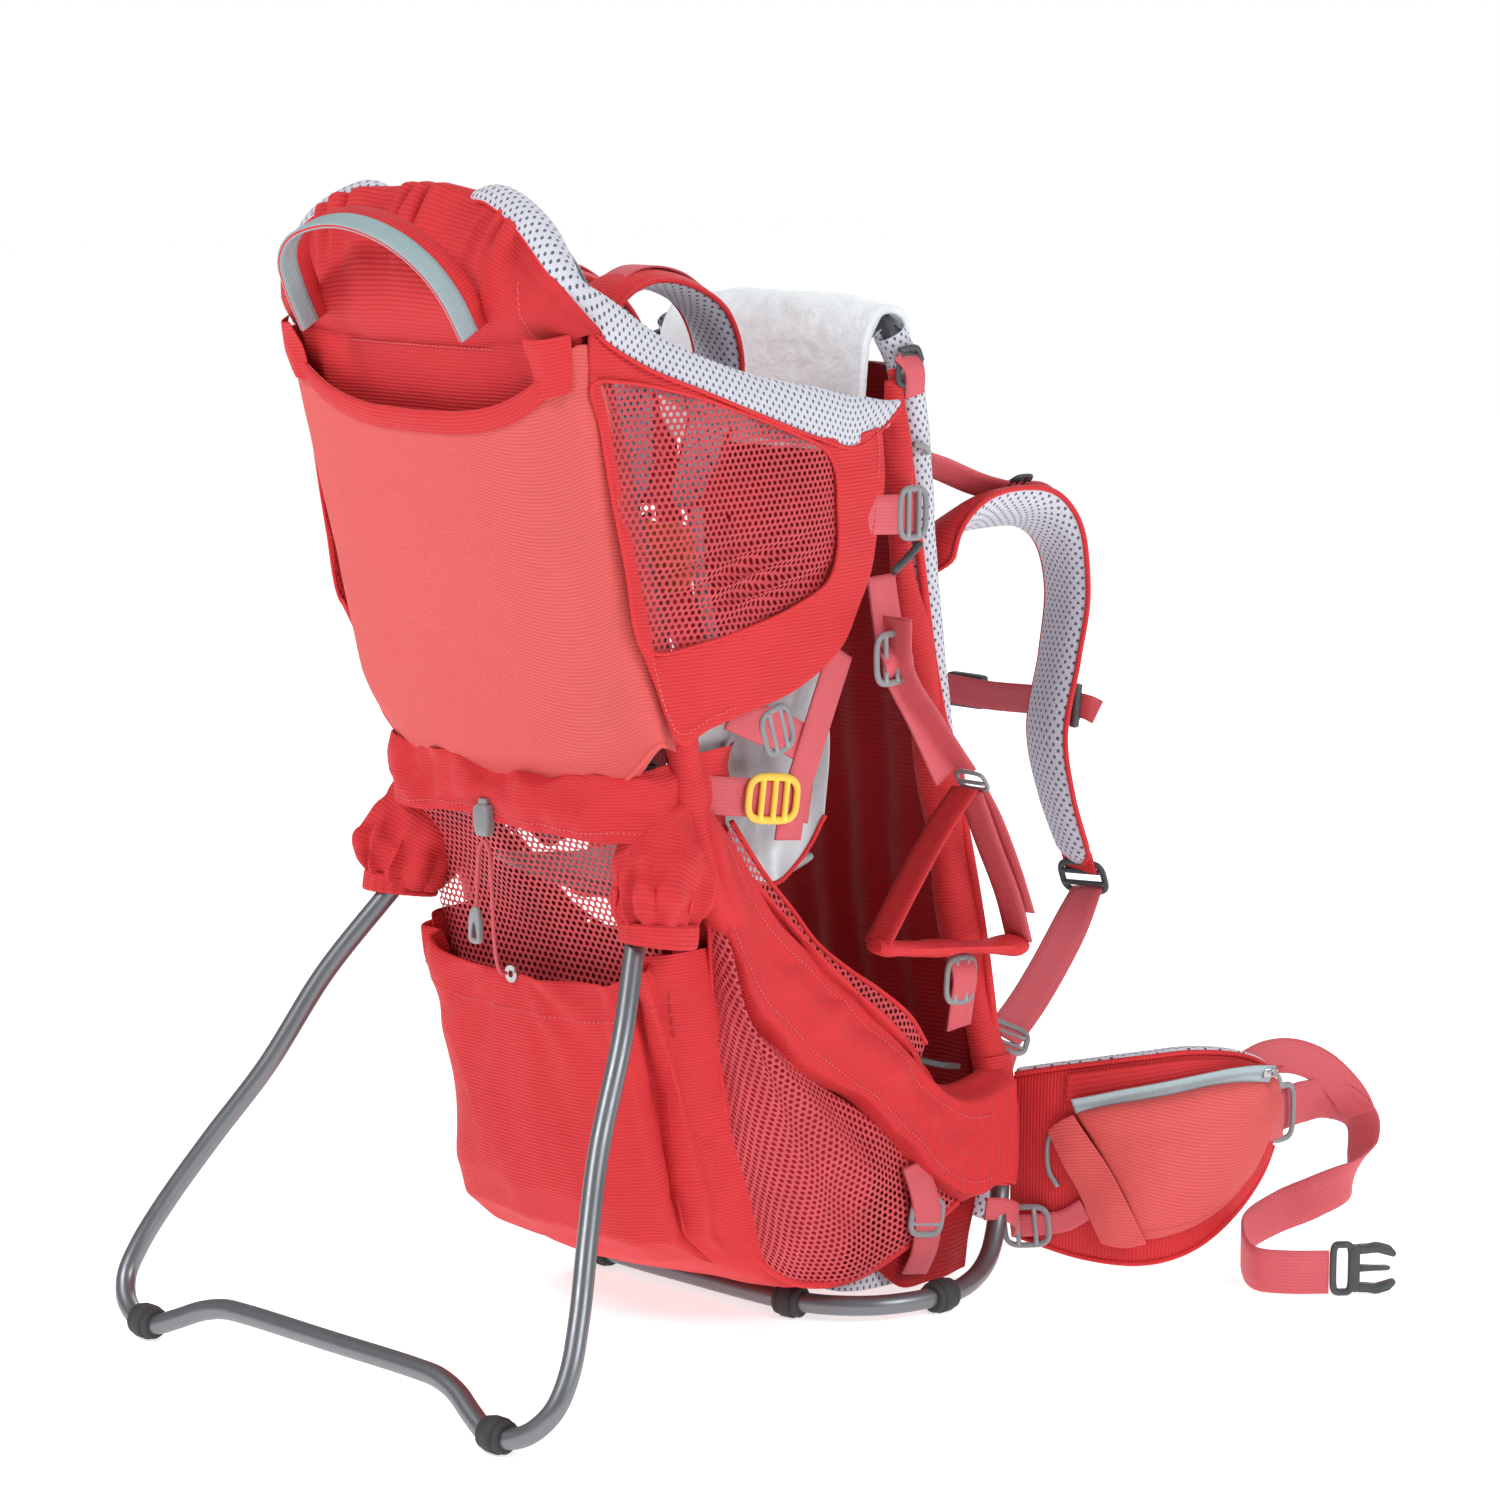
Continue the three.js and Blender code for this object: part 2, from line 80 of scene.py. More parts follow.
def set_stage():
    scene = bpy.context.scene
    scene.view_settings.view_transform = "Standard"
    lens = bpy.data.cameras.new("camera")
    lens.lens, lens.sensor_width = CAMERA_LENS, CAMERA_FILM
    camera = bpy.data.objects.new("camera", lens)
    camera.location = CAMERA_SPOT
    camera.rotation_euler = (math.radians(90 - CAMERA_DOWN), 0, math.radians(CAMERA_TURN))
    scene.collection.objects.link(camera)
    scene.camera = camera

    world = bpy.data.worlds.new("studio")
    world.use_nodes = True
    world.node_tree.nodes["Background"].inputs["Color"].default_value = (1, 1, 1, 1)
    nodes, links = world.node_tree.nodes, world.node_tree.links
    path, strength = nodes.new("ShaderNodeLightPath"), nodes.new("ShaderNodeMapRange")
    strength.inputs["To Min"].default_value = SKY_ON_PIECES
    strength.inputs["To Max"].default_value = SKY_IN_VIEW
    links.new(path.outputs["Is Camera Ray"], strength.inputs[0])
    links.new(strength.outputs[0], nodes["Background"].inputs["Strength"])
    scene.world = world
    for name, spot, size, power in LAMPS:
        light = bpy.data.lights.new(name, "AREA")
        light.size, light.energy = size, power
        lamp = bpy.data.objects.new(name, light)
        lamp.location = spot
        aim = Vector((0, 0, 0.35)) - Vector(spot)
        lamp.rotation_euler = aim.to_track_quat("-Z", "Y").to_euler()
        scene.collection.objects.link(lamp)

    floor_mesh = bpy.data.meshes.new("floor")
    far = FLOOR_REACH
    floor_mesh.from_pydata([(-far, -far, 0), (far, -far, 0), (far, far, 0), (-far, far, 0)], [],
        [(0, 1, 2, 3)])
    floor = bpy.data.objects.new("floor", floor_mesh)
    paint = Paint("floor_white", (0.93, 0.93, 0.93), 0.9)
    paint.set("Emission Color", (1, 1, 1, 1))
    paint.set("Emission Strength", FLOOR_GLOW)
    floor_mesh.materials.append(paint.material)
    scene.collection.objects.link(floor)


# ------------------------------------------------------------------ materials
MIX_LOW, MIX_HIGH = 6, 7        # the colour inputs of a Mix node


class Paint:
    """A material with a Principled shader and short ways to add nodes to it."""

    def __init__(self, name, colour, roughness, slot=None):
        self.material = bpy.data.materials.new(name)
        self.material.use_nodes = True
        self.tree = self.material.node_tree
        self.shader = self.tree.nodes["Principled BSDF"]
        self.colour, self.slot = colour, slot
        self.set("Base Color", (*colour, 1))
        self.set("Roughness", roughness)

    def set(self, socket, value):
        self.shader.inputs[socket].default_value = value

    def node(self, kind, inputs=None, **settings):
        node = self.tree.nodes.new("ShaderNode" + kind)
        for key, value in settings.items():
            setattr(node, key, value)
        for key, value in (inputs or {}).items():
            if isinstance(value, bpy.types.NodeSocket):
                self.tree.links.new(value, node.inputs[key])
            else:
                node.inputs[key].default_value = value
        return node

    def math(self, operation, *values):
        return self.node("Math", dict(enumerate(values)), operation=operation).outputs[0]

    def plus(self, a, b):
        return self.math("ADD", a, b)

    def times(self, a, b):
        return self.math("MULTIPLY", a, b)

    def link(self, value, socket="Base Color"):
        self.tree.links.new(value, self.shader.inputs[socket])

    def weave_place(self):
        """u and v in mm, across and along the cloth."""
        uv = self.node("UVMap", uv_map="weave").outputs[0]
        split = self.node("SeparateXYZ", {0: uv}).outputs
        return self.times(split[0], 1 / MM), self.times(split[1], 1 / MM)

    def ridges(self, along, pitch):
        """A wave from 0 to 1, one ridge for each pitch."""
        turns = self.times(along, math.tau / pitch)
        return self.math("MULTIPLY_ADD", self.math("SINE", turns), 0.5, 0.5)

    def cloud(self, scale, detail=2.0):
        on_piece = self.node("TexCoord").outputs["Object"]
        return self.node("TexNoise", {"Vector": on_piece, "Scale": scale,
            "Detail": detail}).outputs["Fac"]

    def ranged(self, value, *limits):
        """value brought from one range to another: limits are its old ends, then its new ones."""
        return self.node("MapRange", dict(enumerate((value, *limits)))).outputs[0]

    def holes(self, pitch_u, pitch_v, radius_u, radius_v):
        """1 inside staggered oval holes and 0 between them."""
        u, v = self.weave_place()
        row = self.math("DIVIDE", v, pitch_v)
        shift = self.times(self.math("PINGPONG", self.math("FLOOR", row), 1.0), 0.5)
        column = self.plus(self.math("DIVIDE", u, pitch_u), shift)
        parts = []
        for spot, pitch, radius in ((column, pitch_u, radius_u), (row, pitch_v, radius_v)):
            off = self.math("SUBTRACT", self.math("FRACT", spot), 0.5)
            parts.append(self.math("POWER", self.times(off, pitch / radius), 2.0))
        away = self.math("SQRT", self.plus(*parts))
        return self.node("MapRange", {0: away, 1: 0.85, 2: 1.15, 3: 1.0, 4: 0.0},
            interpolation_type="SMOOTHSTEP").outputs[0]

    def mix(self, factor, low, high):
        """low where factor is 0, high where it is 1. A number is a share of the paint's colour,
        and low and high may also be a colour or a socket."""
        mix = self.node("Mix", data_type="RGBA")
        for spot, value in ((MIX_LOW, low), (MIX_HIGH, high), (0, factor)):
            if isinstance(value, bpy.types.NodeSocket):
                self.tree.links.new(value, mix.inputs[spot])
            elif spot == 0:
                mix.inputs[spot].default_value = value
            else:
                colour = value if isinstance(value, tuple) else self.tint(value)
                mix.inputs[spot].default_value = (*colour, 1)
        return mix.outputs[2]

    def tint(self, share):
        return tuple(min(1.0, c * share) for c in self.colour)

    def bump(self, height, strength, distance):
        """distance is the height of the relief in mm."""
        node = self.node("Bump", {"Height": height, "Strength": strength,
            "Distance": distance * MM})
        self.link(node.outputs[0], "Normal")

    def edge_wear(self, low=0.52, high=0.6):
        """1 on worn convex edges."""
        return self.ranged(self.node("NewGeometry").outputs["Pointiness"], low, high)

    def cloth_colour(self, weave, cloudy, share, wear, pale):
        """Mixes the weave's tones with cloudy ones, and pales the worn edges."""
        self.link(self.mix(self.edge_wear(*wear), self.mix(share, weave, cloudy), pale))


def ribbed_fabric(name, colour, slot, pitch=2.3):
    """Coated nylon with fine cross ribs."""
    paint = Paint(name, colour, 0.62, slot)
    u, v = paint.weave_place()
    rib, yarn, cloudy = paint.ridges(v, pitch), paint.ridges(u, 0.9), paint.cloud(16.0)
    paint.cloth_colour(paint.mix(rib, 0.7, 1.12), paint.mix(cloudy, 0.86, 1.12), 0.5, (0.53, 0.66),
        1.35)
    height = paint.plus(rib, paint.times(yarn, 0.35))
    paint.bump(paint.plus(height, paint.times(cloudy, 3.0)), 0.8, 0.35)
    paint.set("Sheen Weight", 0.04)
    paint.set("Sheen Roughness", 0.4)
    paint.set("Specular IOR Level", 0.22)
    return paint


def twill_fabric(name, colour, slot):
    """Heavier cloth with a fine diagonal."""
    paint = Paint(name, colour, 0.7, slot)
    u, v = paint.weave_place()
    diagonal = paint.ridges(paint.plus(paint.times(u, 0.35), v), 2.3)
    cross = paint.ridges(paint.math("SUBTRACT", u, v), 0.8)
    cloudy = paint.cloud(9.0)
    paint.cloth_colour(paint.mix(diagonal, 0.72, 1.12), paint.mix(cloudy, 0.92, 1.06), 0.5,
        (0.53, 0.66), 1.25)
    paint.bump(paint.plus(diagonal, paint.times(cross, 0.4)), 0.8, 0.3)
    paint.set("Sheen Weight", 0.05)
    paint.set("Specular IOR Level", 0.2)
    return paint


def webbing(name, colour, slot):
    """Woven tape: cross ribs and lengthwise cords."""
    paint = Paint(name, colour, 0.6, slot)
    u, v = paint.weave_place()
    rib, cord = paint.ridges(v, 1.5), paint.ridges(u, 2.2)
    paint.cloth_colour(paint.mix(paint.times(rib, cord), 0.74, 1.14), paint.mix(paint.cloud(30.0),
        0.88, 1.1), 0.4, (0.55, 0.7), 1.3)
    paint.bump(paint.plus(rib, cord), 0.6, 0.22)
    paint.set("Sheen Weight", 0.05)
    return paint


def spacer_mesh(name, colour, hole, slot):
    """Knitted 3-D spacer mesh; its staggered oval holes are painted shade in the colour hole."""
    paint = Paint(name, colour, 0.85, slot)
    u, v = paint.weave_place()
    # painted shade: hole_shade is 1 in the holes, where the colour hole stands for the shade in
    # their depth
    hole_shade = paint.holes(5.5, 3.8, 0.9, 1.15)
    knit = paint.times(paint.ridges(u, 1.3), paint.ridges(v, 1.3))
    paint.link(paint.mix(hole_shade, paint.mix(knit, 0.82, 1.05), hole))
    paint.bump(paint.math("SUBTRACT", paint.times(knit, 0.25), hole_shade), 0.8, 0.9)
    paint.set("Sheen Weight", 0.25)
    return paint


def net(name, colour, slot, pitch, radius):
    """See-through mesh: the holes are clear."""
    paint = Paint(name, colour, 0.65, slot)
    clear = paint.holes(pitch, pitch * 0.8, radius, radius)
    paint.link(paint.mix(paint.cloud(40.0), 0.75, 1.15))
    paint.link(paint.math("SUBTRACT", 1.0, clear), "Alpha")
    paint.bump(clear, 0.6, -0.3)
    paint.set("Sheen Weight", 0.1)
    return paint


def fleece(name, colour, slot):
    """Short pile: small tufts on broader drifts."""
    paint = Paint(name, colour, 0.95, slot)
    tufts, drifts = paint.cloud(260.0, 4.0), paint.cloud(38.0, 3.0)
    pile = paint.math("MULTIPLY_ADD", drifts, 0.8, paint.times(tufts, 0.6))
    paint.link(paint.mix(pile, 0.76, 1.1))
    paint.bump(pile, 0.9, 1.6)
    paint.set("Sheen Weight", 0.6)
    paint.set("Sheen Roughness", 0.6)
    return paint


def liner_cloth(name, colour, slot):
    """Thin silvery lining with crinkles."""
    paint = Paint(name, colour, 0.38, slot)
    crinkle = paint.cloud(26.0, 3.0)
    paint.link(paint.mix(crinkle, 0.75, 1.2))
    _, v = paint.weave_place()
    paint.bump(paint.plus(crinkle, paint.times(paint.ridges(v, 1.2), 0.1)), 0.5, 2.2)
    paint.set("Metallic", 0.25)
    return paint


def zip_tape(name, colour, slot):
    """Coated zip tape: a line of teeth under the coating runs along its middle."""
    paint = Paint(name, colour, 0.45, slot)
    u, v = paint.weave_place()
    middle = paint.ranged(paint.math("ABSOLUTE", u), 1.2, 2.2, 1.0, 0.0)
    teeth = paint.times(paint.ridges(v, 1.6), middle)
    paint.link(paint.mix(teeth, colour, 0.6))
    paint.bump(paint.plus(teeth, paint.times(paint.ridges(u, 0.8), 0.2)), 0.5, 0.4)
    return paint


def aluminium(name, colour, slot):
    """Anodised tube with faint draw lines and scuffs."""
    paint = Paint(name, colour, 0.4, slot)
    u, v = paint.weave_place()
    drawn = paint.node("CombineXYZ", {0: paint.times(u, 2.0), 1: paint.times(v, 0.02)})
    lines = paint.node("TexNoise", {"Vector": drawn.outputs[0], "Scale": 3.0}).outputs["Fac"]
    worn = paint.mix(paint.edge_wear(0.56, 0.7), 0.9, 1.5)
    paint.link(paint.mix(lines, worn, 1.12))
    paint.link(paint.ranged(paint.cloud(90.0, 4.0), 0.3, 0.8, 0.34, 0.44), "Roughness")
    paint.bump(lines, 0.02, 0.01)
    paint.set("Metallic", 0.8)
    return paint


def plastic(name, colour, slot, roughness=0.42):
    """Moulded acetal: fine spark-eroded grain, paler worn edges."""
    paint = Paint(name, colour, roughness, slot)
    grain = paint.cloud(900.0)
    paint.link(paint.mix(paint.edge_wear(), paint.mix(paint.cloud(60.0), 0.85, 1.12), 1.6))
    paint.link(paint.ranged(grain, 0, 1, roughness - 0.08, roughness + 0.1), "Roughness")
    paint.bump(grain, 0.25, 0.06)
    return paint


def plain_paint(name, colour, slot, roughness, tone, shades, grain=None, relief=None):
    """A material of one cloudy tone, with a fine grain where it has one. tone and grain are a
    noise's scale and detail, and relief is the grain's strength and height."""
    paint = Paint(name, colour, roughness, slot)
    cloudy = paint.cloud(*tone)
    paint.link(paint.mix(cloudy, *shades))
    if relief:
        paint.bump(paint.cloud(*grain) if grain else cloudy, *relief)
    return paint, cloudy


def rubber(name, colour, slot):
    return plain_paint(name, colour, slot, 0.72, (45.0, 3.0), (0.75, 1.45), (500.0, 3.0),
        (0.4, 0.12))[0]


def steel(name, colour, slot):
    paint, scuffs = plain_paint(name, colour, slot, 0.28, (300.0, 3.0), (0.75, 1.1))
    paint.link(paint.ranged(scuffs, 0, 1, 0.2, 0.42), "Roughness")
    paint.set("Metallic", 1.0)
    return paint


def thread(name, colour, slot):
    return plain_paint(name, colour, slot, 0.7, (1500.0, 1.0), (0.8, 1.2), None, (0.4, 0.1))[0]


RED = ribbed_fabric("red_ribbed_nylon", (0.66, 0.034, 0.04), "red_fabric")
CORAL = twill_fabric("coral_twill", (0.74, 0.115, 0.11), "coral_fabric")
DARK_RED = ribbed_fabric("deep_red_nylon", (0.36, 0.006, 0.01), "dark_red_fabric", 3.2)
PINK = webbing("pink_webbing", (0.68, 0.1, 0.125), "pink_webbing")
# its third colour is painted shade: the dark inside of the mesh's holes
WHITE_MESH = spacer_mesh("white_spacer_mesh", (0.7, 0.71, 0.8), (0.11, 0.11, 0.16), "white_mesh")
WINDOW_NET = net("red_window_net", (0.56, 0.045, 0.06), "red_fabric", 4.8, 1.4)
POCKET_NET = net("red_pocket_net", (0.6, 0.06, 0.078), "red_fabric", 5.2, 1.55)
GREY_FLEECE = fleece("grey_fleece", (0.8, 0.85, 0.88), "grey_fleece")
LINER = liner_cloth("silver_liner", (0.54, 0.56, 0.59), "silver_liner")
GREY_TAPE = webbing("grey_webbing", (0.33, 0.45, 0.48), "grey_webbing")
ZIP = zip_tape("zip_tape", (0.36, 0.47, 0.5), "grey_webbing")
TUBE = aluminium("anodised_tube", (0.2, 0.21, 0.225), "tube_aluminium")
GREY = plastic("grey_acetal", (0.22, 0.225, 0.235), "grey_plastic")
DARK = plastic("dark_acetal", (0.045, 0.048, 0.053), "dark_plastic")
YELLOW = plastic("yellow_acetal", (0.86, 0.5, 0.06), "orange_plastic")
ORANGE = plastic("orange_acetal", (0.8, 0.16, 0.02), "orange_plastic")
RUBBER = rubber("black_rubber", (0.035, 0.036, 0.038), "rubber_feet")
STEEL = steel("bright_steel", (0.5, 0.5, 0.5), "steel_bolt")
STITCH = thread("pink_thread", (0.72, 0.12, 0.14), "red_fabric")
PALE_STITCH = thread("grey_thread", (0.5, 0.52, 0.55), "white_mesh")
set_stage()


# ------------------------------------------------------------------ curves and surfaces
def spline(table, count, closed=False):
    """count rows evenly spaced along a smooth curve through the rows of table. Columns past the
    third, such as a width, run along with the point."""
    rows = np.array(table, float)
    if closed:
        rows = np.vstack([rows[-1:], rows, rows[:2]])
    else:
        rows = np.vstack([2 * rows[0] - rows[1], rows, 2 * rows[-1] - rows[-2]])
    gaps = np.sqrt(np.linalg.norm(np.diff(rows[:, :3], axis=0), axis=1))
    knots = np.concatenate([[0], np.cumsum(np.maximum(gaps, 1e-6))])
    dense = []
    for i in range(len(rows) - 3):
        k = knots[i:i + 4]
        t = np.linspace(k[1], k[2], 24, endpoint=False)[:, None]

        def mix(a, b, start, end):
            return ((end - t) * a + (t - start) * b) / (end - start)

        ends = [mix(rows[i + j], rows[i + j + 1], k[j], k[j + 1]) for j in range(3)]
        pairs = [mix(ends[j], ends[j + 1], k[j], k[j + 2]) for j in range(2)]
        dense.append(mix(pairs[0], pairs[1], k[1], k[2]))
    dense.append(rows[-2][None])
    return resample(np.vstack(dense), count, closed)


def resample(line, count, closed=False):
    """count rows evenly spaced by length along a polyline."""
    line = np.asarray(line, float)
    along = lengths(line)
    wanted = np.linspace(0, along[-1], count, endpoint=not closed)
    return np.stack([np.interp(wanted, along, column) for column in line.T], axis=1)


def lengths(line):
    """How far along a polyline each of its points lies."""
    steps = np.linalg.norm(np.diff(line[:, :3], axis=0), axis=1)
    return np.concatenate([[0], np.cumsum(steps)])


def square_to(along, way):
    """The unit directions nearest to way that are square to the line."""
    return unit(way - along * (way * along).sum(axis=1, keepdims=True))


def unit(v):
    return v / np.maximum(np.linalg.norm(v, axis=-1, keepdims=True), 1e-9)


def directions(line, closed=False):
    """The direction along the line at each of its points."""
    line = line[:, :3]
    if closed:
        return unit(np.roll(line, -1, axis=0) - np.roll(line, 1, axis=0))
    return unit(np.gradient(line, axis=0))


def grid_normals(grid):
    """The normal at each point of a grid of points."""
    return unit(np.cross(np.gradient(grid, axis=1), np.gradient(grid, axis=0)))


def rear_normals(grid):
    """The normals of a grid, turned to point to the rear."""
    normals = grid_normals(grid)
    return -normals if normals[len(grid) // 2, grid.shape[1] // 2, 1] > 0 else normals


def crumple(grid, depth, size, seed=0, stretch=(1, 1, 1), fade=None, ridged=False):
    """Moves a grid of points along its normals by smooth noise, depth mm high and size mm long.
    fade is a grid of shares from 0 to 1, and ridged turns soft swells into sharper creases."""
    normals = grid_normals(grid)
    height = np.empty(grid.shape[:2])
    scale = np.array(stretch, float) / size
    for i, row in enumerate(grid):
        for j, point in enumerate(row):
            height[i, j] = noise.noise(Vector(point * scale) + Vector((seed * 7.3, 0, seed)))
    if ridged:
        height = 0.4 - 2 * np.abs(height)
    if fade is not None:
        height *= fade
    return grid + normals * (height * depth)[..., None]


class Side:
    """One side of the wearer. Its makers add the side's word to a name and mirror the left."""

    def __init__(self, sign, word):
        self.sign, self.word = sign, word

    def surface(self, name, *shape, **how):
        return surface(f"{name}_{self.word}", *shape, side=self.sign, **how)

    def rod(self, name, *shape, **how):
        return rod(f"{name}_{self.word}", *shape, side=self.sign, **how)

    def ribbon(self, name, *shape, **how):
        return ribbon(f"{name}_{self.word}", *shape, side=self.sign, **how)

    def stitches(self, name, *shape, **how):
        return stitches(f"{name}_{self.word}", *shape, side=self.sign, **how)

    def ladder_lock(self, name, *shape, **how):
        return ladder_lock(f"{name}_{self.word}", *shape, side=self.sign, **how)

    def padded_strap(self, name, *shape, **how):
        return padded_strap(f"{name}_{self.word}", *shape, side=self.sign, **how)

    def rounded_block(self, name, *shape, **how):
        return rounded_block(f"{name}_{self.word}", *shape, side=self.sign, **how)


SIDES = (Side(1, "right"), Side(-1, "left"))


def surface(name, grid, paint, body="root", side=1, thick=0.0, closed=False, caps=False, smooth=0,
        uv=None):
    """A quad mesh through a grid of points in mm. Its weave map runs in metres. side -1 mirrors
    it to the wearer's left. closed joins the last column to the first, and caps closes the ends.
    thick gives it thickness in mm, and smooth adds subdivision levels."""
    grid = np.array(grid, float)
    rows, columns = grid.shape[:2]
    if uv is None:
        wide = np.linalg.norm(np.diff(grid, axis=1), axis=2)
        long = np.linalg.norm(np.diff(grid, axis=0), axis=2)
        u = np.concatenate([np.zeros((rows, 1)), np.cumsum(wide, axis=1)], axis=1)
        u -= u.mean(axis=1, keepdims=True)
        v = np.concatenate([np.zeros((1, columns)), np.cumsum(long, axis=0)], axis=0)
        v = np.broadcast_to(v.mean(axis=1, keepdims=True), u.shape)
        uv = np.stack([u, v], axis=2)
    uv = np.asarray(uv) * MM
    grid[..., 0] *= side
    points = place(grid.reshape(-1, 3))
    mesh = bpy.data.meshes.new(name)
    faces, corners = [], []
    last = columns if closed else columns - 1
    for i in range(rows - 1):
        for j in range(last):
            k = (j + 1) % columns
            face = [i * columns + j, i * columns + k, (i + 1) * columns + k, (i + 1) * columns + j]
            step = uv[i, 1] - uv[i, 0]
            right = uv[i, k] if k else uv[i, j] + step
            right_up = uv[i + 1, k] if k else uv[i + 1, j] + step
            corner = [uv[i, j], right, right_up, uv[i + 1, j]]
            if side < 0:
                face, corner = face[::-1], corner[::-1]
            faces.append(face)
            corners.extend(corner)
    if caps:
        for i, order in ((0, -1), (rows - 1, 1)):
            ring = [i * columns + j for j in range(columns)][::order * side]
            faces.append(ring)
            middle = grid[i].mean(axis=0)
            corners.extend([(grid[i, index % columns, 0] - middle[0]) * MM,
                (grid[i, index % columns, 2] - middle[2]) * MM] for index in ring)
    mesh.from_pydata(points.tolist(), [], faces)
    layer = mesh.uv_layers.new(name="weave")
    layer.data.foreach_set("uv", np.array(corners, np.float32).ravel())
    mesh.polygons.foreach_set("use_smooth", [True] * len(mesh.polygons))
    return finish_piece(name, mesh, paint, body, thick, smooth)


def finish_piece(name, mesh, paint, body, thick=0.0, smooth=0):
    """Makes the object of a mesh, with its thickness, smoothing, body and material slot."""
    mesh.materials.append(paint.material)
    piece = bpy.data.objects.new(name, mesh)
    bpy.context.scene.collection.objects.link(piece)
    if thick:
        solid = piece.modifiers.new("thickness", "SOLIDIFY")
        solid.thickness, solid.offset = thick * MM, 0.0
    if smooth:
        divide = piece.modifiers.new("smooth", "SUBSURF")
        divide.levels = divide.render_levels = smooth
    if body:
        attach(piece, body)
    return piece


def ring_grid(line, radii, sides, up=(0, 0, 1), squash=1.0, start=0.0, turn=math.tau):
    """Rings of points round a line. radii is a number or one per point, and squash flattens the
    ring along its second axis."""
    line = np.asarray(line, float)
    along = directions(line)
    radii = np.broadcast_to(np.asarray(radii, float), (len(line),))
    squash = np.broadcast_to(np.asarray(squash, float), (len(line),))
    first = unit(np.cross(along[0], up))
    grid = []
    angles = start + np.arange(sides) / sides * turn
    for point, direction, radius, flat in zip(line[:, :3], along, radii, squash):
        first = unit(first - direction * (first @ direction))
        second = np.cross(direction, first)
        grid.append(point + radius * (np.cos(angles)[:, None] * first + flat * np.sin(angles)[:,
            None] * second))
    return np.array(grid)


def rod(name, points, radius, paint, sides=20, steps=120, body="root", side=1, up=(0, 0, 1),
        curved=True):
    """A round bar along a curve, with rounded ends."""
    line = spline(points, steps) if curved else resample(points, steps)
    grid = ring_grid(line, radius, sides, up)
    along = directions(line)
    for end, order in ((0, -1), (-1, 1)):
        tip = line[end, :3] + (grid[end] - line[end, :3]) * 0.7 + order * along[end] * radius * 0.25
        grid = np.vstack([tip[None], grid]) if end == 0 else np.vstack([grid, tip[None]])
    return surface(name, grid, paint, body=body, side=side, closed=True, caps=True)


BACK_SHIFT = 200        # mm in the weave map from a strap's face to its back


def ribbon(name, points, across, width, thick, paint, steps=60, body="root", side=1):
    """A flat strap along a curve. across gives the direction of its width at each point, and may
    be one direction for all. Its weave map has u across and v along the strap."""
    points = np.array(points, float)
    across = np.broadcast_to(np.array(across, float), (len(points), 3))
    table = spline(np.hstack([points[:, :3], across]), steps)
    line = table[:, :3]
    along = directions(line)
    wide = square_to(along, table[:, 3:6])
    normal = np.cross(along, wide)
    section = [(-1, 0.5), (-0.97, 1), (-0.5, 1), (0, 1), (0.5, 1), (0.97, 1), (1, 0.5), (1, -0.5),
        (0.97, -1), (0.5, -1), (0, -1), (-0.5, -1), (-0.97, -1), (-1, -0.5)]
    half = width / 2
    grid, uv = [], []
    for row, side_way, up, reach in zip(line, wide, normal, lengths(line)):
        grid.append([row + side_way * a * half + up * (b * thick / 2) for a, b in section])
        uv.append([(a * half + (BACK_SHIFT if b < 0 else 0), reach) for a, b in section])
    return surface(name, grid, paint, body=body, side=side, closed=True, caps=True, uv=uv)


STITCH_STEP, STITCH_LENGTH, THREAD_R = 3.4, 2.2, 0.42


def stitches(name, points, body="root", side=1):
    """A row of thread stitches along a polyline, as one mesh."""
    line = np.asarray(points, float)[:, :3]
    count = max(3, int(lengths(line)[-1] / STITCH_STEP))
    line = resample(line, count * 2 + 1)
    along = directions(line)
    verts, faces = [], []
    for i in range(1, len(line), 2):
        direction = along[i]
        first = unit(np.cross(direction, (0.3, 0.5, 0.81)))
        second = np.cross(direction, first)
        base = len(verts)
        for t, r in ((-0.5, 0.3), (-0.3, 1), (0.3, 1), (0.5, 0.3)):
            for a in range(4):
                angle = a * math.pi / 2
                verts.append(line[i] + direction * t * STITCH_LENGTH + THREAD_R * r
                    * (math.cos(angle) * first + math.sin(angle) * second))
        for ring in range(3):
            for a in range(4):
                b = (a + 1) % 4
                faces.append([base + ring * 4 + a, base + ring * 4 + b, base + ring * 4 + 4 + b,
                    base + ring * 4 + 4 + a])
        faces.append([base + a for a in (3, 2, 1, 0)])
        faces.append([base + 12 + a for a in range(4)])
    verts = np.array(verts)
    verts[:, 0] *= side
    if side < 0:
        faces = [f[::-1] for f in faces]
    mesh = bpy.data.meshes.new(name)
    mesh.from_pydata(place(verts).tolist(), [], faces)
    mesh.uv_layers.new(name="weave")
    return finish_piece(name, mesh, STITCH, body)


def coons(bottom, top, left, right, rows, columns):
    """A smooth patch between four curves: bottom and top run left to right, left and right run
    bottom to top."""
    b, t = spline(bottom, columns), spline(top, columns)
    l, r = spline(left, rows), spline(right, rows)
    u = np.linspace(0, 1, columns)[None, :, None]
    v = np.linspace(0, 1, rows)[:, None, None]
    ruled_v = (1 - v) * b[None] + v * t[None]
    ruled_u = (1 - u) * l[:, None] + u * r[:, None]
    corners = ((1 - u) * (1 - v) * b[0] + u * (1 - v) * b[-1] + (1 - u) * v * t[0] + u * v * t[-1])
    return ruled_v + ruled_u - corners


def shares(rows, columns):
    """Two grids that run from 0 to 1 down the rows and along the columns."""
    return np.meshgrid(np.linspace(0, 1, rows), np.linspace(0, 1, columns), indexing="ij")


# ------------------------------------------------------------------ frame tubes and feet
def both_sides(half):
    """The left half of a symmetric path, then the right: the points run from x = 0 outwards."""
    left = [(-x, *rest) for x, *rest in reversed(half)]
    return left + [tuple(p) for p in half if p[0]]


